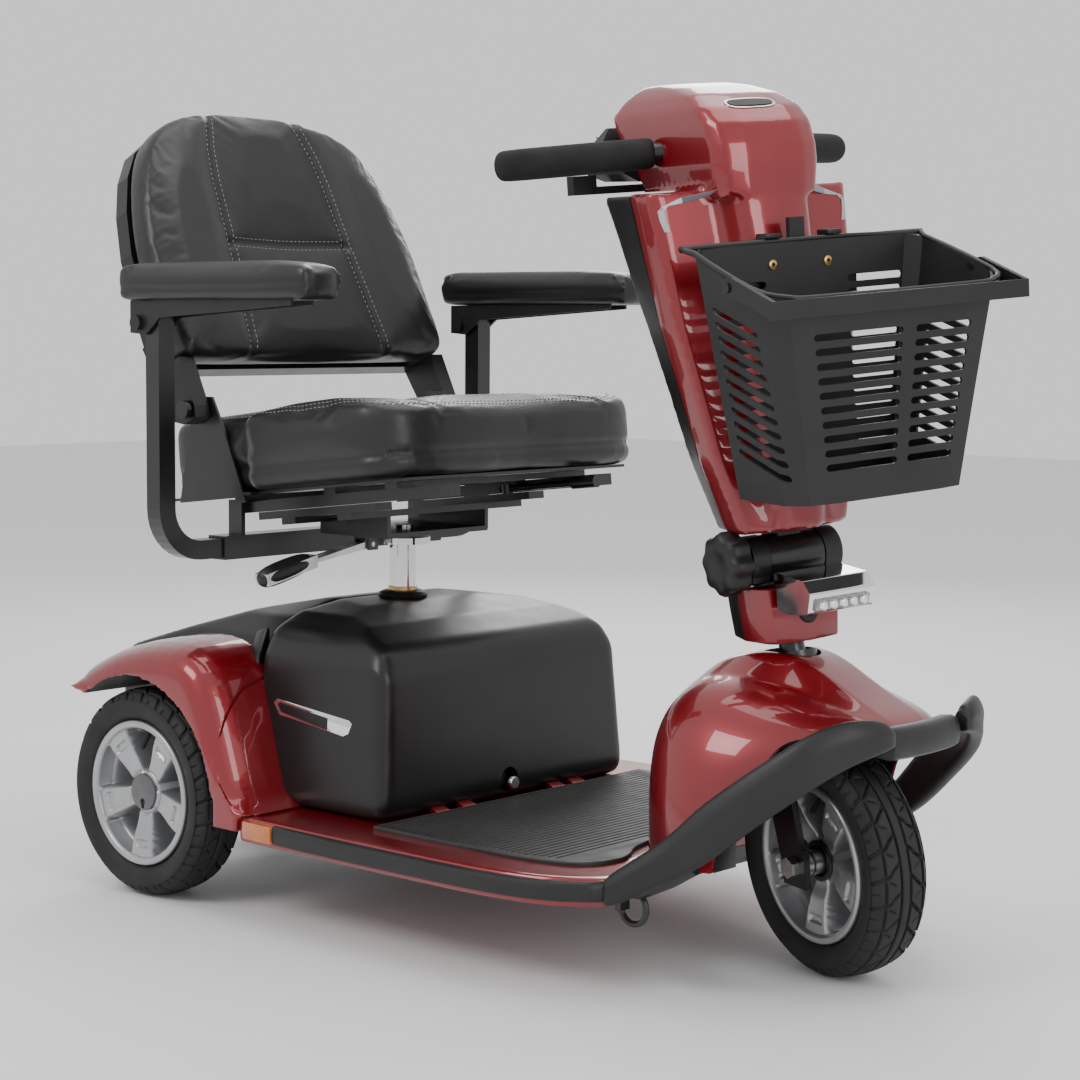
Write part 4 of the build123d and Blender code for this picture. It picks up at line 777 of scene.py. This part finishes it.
# ---- lower steering cover
LC = [(362.5, [(262, 40), (264, 44), (296, 53), (328, 47), (338, 40), (342, 22), (343, 0)]), (395, [(259, 43), (261, 47), (293, 55.5), (325, 50), (336, 43), (340.5, 24), (341.5, 0)]), (421, [(257, 45), (259, 49), (290, 57), (322, 53), (333, 46), (338.5, 25), (340, 0)])]
def lcsec(z, h, d=0):
    h = [(298 + (x - 298) * (1 - d / 40), y * (1 - d / 48)) for x, y in h]
    return [(x, y, z) for x, y in h] + [(x, -y, z) for x, y in h[::-1][1:]]
secs = [lcsec(361.5, LC[0][1], 2.5), lcsec(362.5, LC[0][1], 0.8), lcsec(364.5, LC[0][1], 0)] + [lcsec(z, h) for z, h in LC[1:]] + [lcsec(422.5, LC[2][1], 1.5)]
o = make('lower_steering_cover', *loft(secs), turn)
n27 = make('tmp', *turned([(-60, 27.6), (60, 27.6)], (302, 0, 450), (0, 1, 0), 48), turn)
boolean(o, n27)
put(o, 'm_red', 'steering', 'lower_tiller_cover', 35)
Rinv = lambda x, y, z: rotv(np.array([[x, y, z]]) - PIV, AX, -STEER)[0] + PIV
o.data.materials.append(MATS['m_shell'])
for p in o.data.polygons:
    q_ = Rinv(p.center.x * 1000 - X0, p.center.y * 1000, p.center.z * 1000)
    if q_[0] < 285:
        p.material_index = 1
# lamp bracket boss on its front
v = turned([(0, 10), (2, 12.5), (6, 12.5), (7.5, 11), (7.8, 5.2), (5.5, 4.6), (5.5, 0.5)], (336, 0, 393), (1, 0, 0.12), 36)
v2 = prism([(338, 393), (347, 393), (352, 410), (352, 424), (338, 424)], 'y', -12, 12)
o = make('lamp_boss', *v, turn); put(o, 'm_plastic', 'steering', (), 40)
o = make('lamp_stem', *v2, turn); bevel(o, 2.5, 3); put(o, 'm_plastic', 'steering', (), 40)

# ------------------------------------------------------------------ tiller housing
def half_sec(z, xf, xc, hw, xr, hs):
    h = [(xr, hw - 12), (xc - 30, hw), (xc - 6, hw - 1), (xc, hw - 8), (xc + 6, hs + 14), (xc + 8, hs + 8), (xf - 10, hs + 2), (xf - 3, hs - 6), (xf, 0.5 * hs), (xf + 1, 0)]
    full = h + [(x, -y) for x, y in h[-2::-1]]
    return [(x, y, z) for x, y in full]


bd = [half_sec(z, *v) for z, v in ((482, (344, 330, 70, 262, 30)), (560, (345, 318, 92, 246, 34)), (630, (343, 307, 104, 231, 36)), (700, (340, 296, 116, 214, 38)), (770, (330, 285, 122, 186, 41)), (845, (318, 272, 128, 158, 44)))]
def hsec(z, xf, hw, xr):
    h = [(xr, hw - 8), (xr + 8, hw), (xf - 22, hw), (xf - 8, hw - 7), (xf - 1, hw * 0.55), (xf, 0)]
    return [(x, y, z) for x, y in h + [(x, -y) for x, y in h[-2::-1]]]


hd_ = [hsec(z, xf, hw, xr) for z, xf, hw, xr in ((836, 320, 62, 162), (870, 320, 66, 136), (890, 318, 66, 121), (913, 309, 66, 102), (930, 292, 65, 95), (945, 262, 58, 108), (955, 225, 50, 122), (960, 190, 44, 135))]
o = make('tiller_front', *both(loft(bd), loft(hd_)), turn)
voxel(o, 3.4, 7)
red_ = [(500, 470), (297, 470), (283, 560), (259, 700), (228, 846), (60, 846), (60, 985), (500, 985)]
boolean(o, make('tmp', *prism(red_, 'y', -300, 300), turn), 'INTERSECT')
put(o, 'm_red', 'tiller', 'tiller_front_shroud', 40)
o = make('tiller_rear', *loft(bd), turn)
voxel(o, 3.8, 6)
boolean(o, make('tmp', *prism([(100, 484), (295.5, 484), (281.5, 560), (257.5, 700), (226, 843), (100, 843)], 'y', -300, 300), turn), 'INTERSECT')
put(o, 'm_shell', 'tiller', 'tiller_rear_shroud', 40)
tt = None
bm_ = bmesh.new(); bm_.from_mesh(bpy.data.objects['tiller_front'].data); tt = BVHTree.FromBMesh(bm_); bm_.free()
FWD = Vector(turn([[1, 0, 0]])[0] - turn([[0, 0, 0]])[0])
FWD.normalize()


def front_at(y, z, lift):
    h = tt.ray_cast(Vector(W(turn([[420, y, z]]))[0]), -FWD, 0.4)
    p = np.array(h[0]) * 1000; p[0] -= X0
    return p + np.array(FWD) * lift


# reflective angle strips on the shoulders
for i, s in enumerate((1, -1)):
    sd = 'lr'[i]
    V = []; F = []
    ln = [(62, 842), (92, 836), (112, 831), (118, 826), (117, 816), (114, 804)]
    for y, z in ln:
        for dz in (-3, 3):
            a = (y, z + dz) if y < 112 else (y + dz, z)
            for l in (-0.5, 0.8):
                V.append(front_at(a[0] * s, a[1], l))
    for k in range(len(ln) - 1):
        a, b = 4 * k, 4 * k + 4
        F += [(a + 1, b + 1, b + 3, a + 3), (a, a + 2, b + 2, b), (a, b, b + 1, a + 1), (a + 2, a + 3, b + 3, b + 2)]
    F += [(0, 1, 3, 2), (len(V) - 4, len(V) - 2, len(V) - 1, len(V) - 3)]
    o = make('shoulder_strip_' + sd, V, F)
    put(o, 'm_reflect', 'tiller', (), 30)
# blank badge on the head
def head_at(y, x, lift):
    h = tt.ray_cast(Vector(W(turn([[x, y, 1010]]))[0]), Vector((0, 0, -1)), 0.4)
    p = np.array(h[0]) * 1000; p[0] -= X0
    n_ = np.array(h[1])
    return p + n_ * lift


for nm, hw_, hx, l0, l1, m_ in (('badge_frame', 31, 9, -0.8, 1.2, 'm_chrome'), ('badge_field', 28, 6.5, 0.4, 1.6, 'm_dark')):
    V = []; F = []
    ring = [(math.copysign(abs(math.cos(q)) ** 0.6, math.cos(q)) * hw_, math.copysign(abs(math.sin(q)) ** 0.6, math.sin(q)) * hx) for q in np.linspace(0, 2 * math.pi, 28, endpoint=False)]
    for l in (l0, l1):
        for y, x in ring:
            V.append(head_at(y, 284 + x, l))
    n_ = len(ring)
    F = [tuple(range(n_)), tuple(range(2 * n_ - 1, n_ - 1, -1))] + [(i, (i + 1) % n_, n_ + (i + 1) % n_, n_ + i) for i in range(n_)]
    o = make(nm, V, F)
    put(o, m_, 'tiller', (), 40)

# foam grips
gv = []
for s in (1, -1):
    a = np.array([206, 40 * s, 888.5]); b = np.array([126, 217 * s, 883.0])
    ts = [0.17, 0.175, 0.19, 0.22, 0.5, 0.8, 1.0, 1.025, 1.045, 1.058, 1.063]
    rs_ = [10, 14, 16.2, 17, 17.2, 17.2, 17, 15.8, 13, 8, 2.5]
    d = (b - a)
    pth = [a + d * t for t in ts]
    gv.append(tube(pth, rs_, 36))
o = make('grips', *both(*gv), turn)
subd(o, 1)
put(o, 'm_foam', 'tiller', 'handlebar_grips')

# steering knob with eight lobes
V = []; F = []
for k, (h, sc_) in enumerate(((-58.4, 0.30), (-60, 0.78), (-63, 0.97), (-70, 1.0), (-80, 1.0), (-85, 0.93), (-87.5, 0.8), (-88, 0.45), (-86.5, 0.30), (-86.0, 0.02))):
    for i in range(96):
        q = 2 * math.pi * i / 96
        r_ = (33.4 + 1.9 * math.cos(8 * q)) if sc_ > 0.7 else 34
        V.append((302 + r_ * sc_ * math.cos(q), h, 450 + r_ * sc_ * math.sin(q)))
for k in range(9):
    for i in range(96):
        F.append((k * 96 + i, k * 96 + (i + 1) % 96, (k + 1) * 96 + (i + 1) % 96, (k + 1) * 96 + i))
F.append(tuple(range(96))); F.append(tuple(range(9 * 96 + 95, 9 * 96 - 1, -1)))
knode = [n for n in frame['nodes'] if 'knob' in n]
if knode:
    o = make('tilt_knob_lobed', V, F, turn)
    put(o, 'm_plastic', BODY[knode[0]], knode[0], 35)

# ------------------------------------------------------------------ basket
zt = lambda x: 788 - (x - 362) * 0.34
def bring(zk, off=0.0):
    """outline at height share zk (0 foot, 1 rim), moved inward by off"""
    top = [(362, 130), (378, 146), (480, 150), (508, 128), (514, 90)]
    bot = [(366, 96), (378, 106), (462, 110), (484, 94), (489, 66)]
    P = []
    for (xt, yt), (xb, yb) in zip(top, bot):
        P.append((xb + (xt - xb) * zk, yb + (yt - yb) * zk))
    P = P + [(x, -y) for x, y in P[::-1]]
    P = np.array(P, float); cx = np.array([435, 0.0])
    A_ = np.roll(P, -1, 0) - np.roll(P, 1, 0); N_ = np.c_[A_[:, 1], -A_[:, 0]].astype(float); N_ /= np.linalg.norm(N_, axis=1)[:, None]
    if ((P - cx) * N_).sum() < 0:
        N_ = -N_
    P = P - N_ * off
    return [(x, y, 530 + (zt(x) - 530) * zk) for x, y in P]


def rounder(ring, k=3):
    return ring


secs_o = [bring(k) for k in (0, 0.25, 0.5, 0.75, 1.0)]
secs_i = [bring(k, 3.0) for k in (0.012, 0.25, 0.5, 0.75, 1.0)]
n_ = len(secs_o[0])
V = [p for s_ in secs_o for p in s_] + [p for s_ in secs_i for p in s_]
F = []
for k in range(4):
    for i in range(n_):
        j = (i + 1) % n_
        F.append((k * n_ + i, k * n_ + j, (k + 1) * n_ + j, (k + 1) * n_ + i))
        a = 5 * n_
        F.append((a + k * n_ + j, a + k * n_ + i, a + (k + 1) * n_ + i, a + (k + 1) * n_ + j))
for i in range(n_):
    j = (i + 1) % n_
    F.append((4 * n_ + i, 4 * n_ + j, 9 * n_ + j, 9 * n_ + i))
F.append(tuple(range(n_ - 1, -1, -1))); F.append(tuple(5 * n_ + i for i in range(n_)))
o = make('basket_tub', V, F, turn)
# slots
cut = []


def pill(y0, y1, z, hgt, x0, x1, axis='x'):
    r_ = hgt / 2; pts = []
    for q in np.linspace(-math.pi / 2, math.pi / 2, 5):
        pts.append((y1 - r_ + r_ * math.cos(q), z + r_ * math.sin(q)))
    for q in np.linspace(math.pi / 2, 3 * math.pi / 2, 5):
        pts.append((y0 + r_ + r_ * math.cos(q), z + r_ * math.sin(q)))
    return prism(pts, axis, x0, x1)


for k in range(10):
    z = 697 - k * 14.5
    w_ = 1 - k * 0.022
    cut.append(pill(-98 * w_, 10 * w_, z, 7.4, 470, 540)); cut.append(pill(26 * w_, 98 * w_, z, 7.4, 470, 540))
for k in range(11):
    z = 726 - k * 14.5
    for s in (1, -1):
        v, f = pill(394, 474 - 0.0 * k + 0, 0, 7.4, 0, 1)
        v = [(p[1], (85 if p[0] < 0.5 else 170) * s, z + p[2] - (p[1] - 394) * 0.30) for p in v]
        if z < 560:
            continue
        cut.append((v, f))
for k in range(13):
    z = 745 - k * 14.5
    for s in (1, -1):
        cut.append(pill(min(52 * s, (124 - k * 2.2) * s), max(52 * s, (124 - k * 2.2) * s), z, 7.4, 352, 374.5))
boolean(o, make('tmp', *both(*cut), turn))
# raised band round the rim and the two hanging hooks
rim = bring(1.0, 0.5)
rim = cr(rim, 3, True)
rv = tube(rim, 3.4, 8, close=True)
hk_ = []
for s in (1, -1):
    hk_.append(prism([(344, 770), (349, 770), (349, 792), (364, 792), (364, 797), (344, 797)], 'y', min(30 * s, 48 * s), max(30 * s, 48 * s)))
    hk_.append(prism([(357.6, 592), (366, 592), (366, 604), (357.6, 604)], 'y', 25 * s - 6, 25 * s + 6))
    hk_.append(turned([(0, 9), (5, 9), (5, 0.5)], (452, 148 * s, 750), (0, s, 0), 24))
r2 = make('basket_rim', *both(rv), turn)
put(r2, 'm_basket', 'basket_body', (), 50)
r3 = make('basket_hooks', *both(*hk_), turn)
bevel(r3, 0.8, 2); put(r3, 'm_basket', 'basket_body', (), 40)
put(o, 'm_basket', 'basket_body', 'basket', 30)
br = []
for y, z in ((-43, 765), (27, 765), (-8, 653)):
    br.append(turned([(0, 5.2), (2.0, 5.2), (2.6, 4.4), (2.6, 2.2), (0.8, 2.0), (0.8, 0.3)], (364.5, y, z), (1, 0, 0), 24))
o = make('basket_studs', *both(*br), turn)
put(o, 'm_brass', 'basket_body', (), 40)

# ------------------------------------------------------------------ headlight
leds = []
for y in (-26, -13, 0, 13, 26):
    leds.append(turned([(0, 5.4), (1.2, 5.4), (2.6, 4.2), (3.4, 2.4), (3.6, 0.3)], (404.2, y, 410.5), (1, 0, 0), 24))
o = make('headlight_leds', *both(*leds), turn)
put(o, 'm_led', BODY.get('headlight_housing', 'steering'), (), 60)

# ------------------------------------------------------------------ upholstery
def shell_block(outl, axis_fn, t0, t1, rnd, name, T, size=5.0, sm=10):
    """soft-edged block over a closed outline, t0..t1 thick"""
    V = []; F = []
    n = len(outl)
    P = np.array(outl, float); c = P.mean(0)
    lay = [(t0, rnd), (t0 + rnd * 0.3, rnd * 0.3), (t0 + rnd, 0), (t1 - rnd, 0), (t1 - rnd * 0.3, rnd * 0.3), (t1, rnd)]
    A = np.roll(P, -1, 0) - np.roll(P, 1, 0)
    N_ = np.c_[A[:, 1], -A[:, 0]]; N_ /= np.linalg.norm(N_, axis=1)[:, None]
    if ((P - c) * N_).sum() < 0:
        N_ = -N_
    secs = [[axis_fn(*(P[i] - N_[i] * d), t) for i in range(n)] for t, d in lay]
    o = make(name, *loft(secs), T)
    return voxel(o, size, sm)


def plump(o, pins, press=4.0, cap=6.0, frames=16, seams=None):
    """blow the cover up against its seams"""
    base = coords(o).copy()
    g = o.vertex_groups.new(name='pin')
    g.add([int(i) for i in np.nonzero(pins)[0]], 1.0, 'REPLACE')
    m = o.modifiers.new('c', 'CLOTH'); s = m.settings
    s.quality = 4; s.mass = 0.4; s.air_damping = 2.0
    s.tension_stiffness = s.compression_stiffness = 18; s.shear_stiffness = 8; s.bending_stiffness = 0.6
    s.use_pressure = True; s.uniform_pressure_force = press
    s.effector_weights.gravity = 0.0
    s.vertex_group_mass = 'pin'
    m.collision_settings.use_self_collision = False; m.collision_settings.use_collision = False
    m.point_cache.frame_start = 1; m.point_cache.frame_end = 20
    for f in range(1, frames + 1):
        sc.frame_set(f)
    bake(o); o.vertex_groups.clear()
    sc.frame_set(1)
    d = coords(o) - base; l = np.linalg.norm(d, axis=1)
    d *= np.minimum(1.0, cap / 1000 / np.maximum(l, 1e-9))[:, None]
    setco(o, base + d)
    return subd(o, 1)


def loc_of(o, inv):
    a = coords(o) * 1000; a[:, 0] -= X0
    return inv(a)


def inv_seat(p):
    x, z = p[:, 0] + 286, p[:, 2] - 460
    return np.c_[x * math.cos(_t) + z * math.sin(_t), p[:, 1], -x * math.sin(_t) + z * math.cos(_t)]


def inv_back(p):             # (n, y, u)
    x, z = p[:, 0] + 425, p[:, 2] - 591
    return np.c_[x * math.cos(_r) + z * math.sin(_r), p[:, 1], -x * math.sin(_r) + z * math.cos(_r)]


def push(o, T, inv, fn):
    q = loc_of(o, inv)
    setco(o, W(T(fn(q))))
    return o


# seat cushion
half = [(-205, 0), (-205, 150), (-200, 180), (-180, 194), (-60, 197), (-45, 202), (-38, 216), (-24, 226), (0, 229), (150, 229), (180, 225), (203, 205), (214, 180), (219, 140), (218, 70), (214, 0)]
outl = half + [(x, -y) for x, y in half[-2:0:-1]]
outl = cr(outl, 2, True)
cu = shell_block(outl, lambda a, b, t: (a, b, t), 41, 134, 13, 'seat_cushion', seat, 5.0, 9)


def seat_shape(q):
    x, y, z = q[:, 0].copy(), q[:, 1].copy(), q[:, 2].copy()
    top = np.clip((z - 60) / 60, 0, 1)
    dip = 9 * np.exp(-((x - 20) / 120) ** 2 - (y / 120) ** 2) + 10 * np.clip((x - 120) / 90, 0, 1) ** 2
    z -= top * dip
    # stitched groove round the top edge and the tuck seam at the foot of the border
    qx = np.clip(np.maximum(np.abs(y) - 212, 0), 0, 99)
    g = np.exp(-((z - 68) / 4.5) ** 2)
    r = np.hypot(x / 215, y / 229)
    side = (np.abs(y) > 190) | (x > 195) | (x < -190)
    sgn = np.where(side, 1.0, 0.0)
    x -= np.where(x > 195, 4 * g, 0) - np.where(x < -190, 3 * g, 0)
    y -= np.sign(y) * np.where(np.abs(y) > 190, 4 * g, 0)
    # seams across the seat: two lines front to back
    for s_ in (-1, 1):
        ln = 128 + 0.06 * (x - 0)
        z -= 4.0 * np.exp(-((y - s_ * ln) / 5.0) ** 2) * np.clip((z - 100) / 15, 0, 1)
    return np.c_[x, y, z]


push(cu, seat, inv_seat, seat_shape)
q = loc_of(cu, inv_seat)
pn = (q[:, 2] < 50) | (np.abs(q[:, 2] - 68) < 3) & ((np.abs(q[:, 1]) > 188) | (q[:, 0] > 190) | (q[:, 0] < -188)) | ((np.abs(np.abs(q[:, 1]) - 128 - 0.06 * q[:, 0]) < 3.2) & (q[:, 2] > 100))
plump(cu, pn, 4.2, 6.0)
put(cu, 'm_leather', 'seat', 'seat_cushion')


def surf(o):
    bm_ = bmesh.new(); bm_.from_mesh(o.data); t = BVHTree.FromBMesh(bm_); bm_.free()
    return t


def stitch(name, tree, pts, d, T, body, pitch=7.0, ln=4.6, r=0.55, out=0.25):
    """thread lying on the cover: short stitches cast onto it along direction d (local)"""
    A = W(T(np.array(pts))); D = Vector(W(T(np.array([[0.0, 0, 0], d])))[1] - W(T(np.array([[0.0, 0, 0], d])))[0]).normalized()
    hit = []
    for p in A:
        h = tree.ray_cast(Vector(p) - D * 0.08, D, 0.2)
        if h[0] is not None:
            hit.append((np.array(h[0]), np.array(h[1])))
    if len(hit) < 2:
        return None
    P = np.array([h[0] for h in hit]); Nn = np.array([h[1] for h in hit])
    seg = np.linalg.norm(np.diff(P, axis=0), axis=1)
    ok = seg < 0.03
    s_ = np.r_[0, np.cumsum(seg)]
    V = []; F = []
    t = 0.0
    while t + ln / 1000 < s_[-1]:
        ts = [t, t + ln * 0.25 / 1000, t + ln * 0.75 / 1000, t + ln / 1000]
        k = min(np.searchsorted(s_, t, side='right') - 1, len(seg) - 1)
        if ok[k]:
            pp = np.array([[np.interp(u_, s_, P[:, j]) for j in range(3)] for u_ in ts]); nn = np.array([np.interp(t, s_, Nn[:, j]) for j in range(3)])
            nn /= np.linalg.norm(nn)
            lift = np.array([-0.5, out, out, -0.5]) / 1000
            pp = pp + lift[:, None] * nn
            mm_ = pp * 1000; mm_[:, 0] -= X0
            v, f = tube(mm_, [r * 0.7, r, r, r * 0.7], 6)
            k0 = len(V); V += [tuple(a) for a in v]; F += [tuple(i + k0 for i in g) for g in f]
        t += pitch / 1000
    o = make(name, V, F)
    put(o, 'm_thread', body)
    return o


tr = surf(cu)
# double row along the top edge
for j, ins in enumerate((13, 21)):
    P = np.array(outl); A_ = np.roll(P, -1, 0) - np.roll(P, 1, 0); N_ = np.c_[A_[:, 1], -A_[:, 0]]; N_ /= np.linalg.norm(N_, axis=1)[:, None]
    P2 = P - N_ * ins if (P * N_).sum() > 0 else P + N_ * ins
    P2 = np.vstack([P2, P2[:1]])
    den = np.vstack([np.linspace(P2[i], P2[i + 1], 6)[:-1] for i in range(len(P2) - 1)])
    stitch('seat_stitch_%d' % j, tr, [(a, b, 150) for a, b in den], (0, 0, -1), seat, 'seat')
for j, s_ in enumerate((-1, 1)):
    for k_, off in enumerate((-6, 6)):
        stitch('seat_line_%d_%d' % (j, k_), tr, [(x, s_ * (128 + 0.06 * x) + off, 150) for x in np.linspace(-180, 195, 80)], (0, 0, -1), seat, 'seat')

# backrest cushion
bo_ = [(62, 0), (62, 190), (66, 214), (80, 226), (150, 228), (217, 225), (275, 213), (325, 195), (360, 172), (382, 140), (396, 96), (403, 45), (404, 0)]
bout = [(y, u) for u, y in bo_] + [(-y, u) for u, y in bo_[-2:0:-1]]
bout = cr(bout, 2, True)
bc = shell_block(bout, lambda a, b, t: (t, a, b), -24, 30, 13, 'backrest_cushion', back, 5.0, 8)


def seam_y(u):
    return np.interp(u, [60, 215, 300, 345, 404], [115, 100, 95, 88, 70])



def back_shape(q):
    n, y, u = q[:, 0].copy(), q[:, 1].copy(), q[:, 2].copy()
    fr_ = np.clip(n / 15, 0, 1)
    hol = 9 * np.exp(-(y / 110) ** 2)
    n -= fr_ * hol
    ay = np.abs(y)
    n -= fr_ * 5.5 * np.exp(-((ay - seam_y(u)) / 5.0) ** 2)
    n -= fr_ * 5.5 * np.exp(-((u - 215 + 0.0 * ay) / 5.0) ** 2) * (ay < seam_y(u) + 4)
    return np.c_[n, y, u]


push(bc, back, inv_back, back_shape)
q = loc_of(bc, inv_back); ay = np.abs(q[:, 1]); u_ = q[:, 2]
pn = (q[:, 0] < -18) | ((q[:, 0] > 5) & ((np.abs(ay - seam_y(u_)) < 3.2) | ((np.abs(u_ - 215) < 3.2) & (ay < seam_y(u_)))))
plump(bc, pn, 4.2, 6.0)
put(bc, 'm_leather', 'backrest', 'backrest_cushion')
q = loc_of(bc, inv_back)
bc.data.materials.append(MATS['m_weave'])
fc_ = np.empty(len(bc.data.polygons) * 3); bc.data.polygons.foreach_get('center', fc_); fc_ = fc_.reshape(-1, 3) * 1000; fc_[:, 0] -= X0
fq = inv_back(fc_)
bc.data.polygons.foreach_set('material_index', ((np.abs(fq[:, 1]) < seam_y(fq[:, 2])) & (fq[:, 0] > 0)).astype(np.int32))
tr = surf(bc)
us = np.linspace(70, 392, 70)
for j, s_ in enumerate((-1, 1)):
    for k_, off in enumerate((-6, 6)):
        stitch('back_in_%d_%d' % (j, k_), tr, [(60, s_ * (seam_y(u) + off), u) for u in us], (-1, 0, 0), back, 'backrest')
for k_, off in enumerate((-6, 6)):
    stitch('back_cross_%d' % k_, tr, [(60, y, 215 + off) for y in np.linspace(-92, 92, 50)], (-1, 0, 0), back, 'backrest')

# arm pads
for i, s in enumerate((1, -1)):
    sd = ('left', 'right')[i]
    xs_ = [(-462, 0), (-462, 14), (-456, 25), (-440, 30), (-160, 30), (-142, 26), (-135, 14), (-134, 0)]
    ol = xs_ + [(x, -y) for x, y in xs_[-2:0:-1]]
    ol = cr(ol, 2, True)
    ap = shell_block([(a, b + 276 * s) for a, b in ol], lambda a, b, t: (a, b, t), 721, 763, 12, 'arm_pad_' + sd, same, 4.5, 4)
    V = coords(ap); z = V[:, 2] * 1000; x = V[:, 0] * 1000 - X0; y = V[:, 1] * 1000
    g = np.exp(-((z - 735) / 2.2) ** 2) * 2.0
    dy = y - 276 * s
    V[:, 1] -= np.sign(dy) * np.where(np.abs(dy) > 22, g, 0) / 1000
    V[:, 2] -= np.clip((z - 745) / 15, 0, 1) * 5.0 * np.clip((x + 200) / 70, 0, 1) ** 2 / 1000
    setco(ap, V)
    plump(ap, z < 736, 4.0, 3.0, 12)
    put(ap, 'm_pad', 'arm_' + sd, 'arm_pad_' + sd)

# grip on the swivel lever under the seat, and ring of the post
gp = make('swivel_lever_grip', *tube([(-286, -158, 413), (-286, -164, 412), (-286, -182, 408), (-286, -212, 401), (-286, -233, 395.5), (-286, -238, 394)], [6.0, 11.0, 13.0, 13.5, 12.0, 5.0], 24))
subd(gp, 1)
put(gp, 'm_plastic', 'swivel_release')
ring_ = make('post_ring', *turned([(0, 17.2), (0.5, 18.4), (4.5, 18.4), (5, 17.2)], (-286, 0, 365.5), (0, 0, 1), 48))
put(ring_, 'm_brass', 'chassis', (), 40)
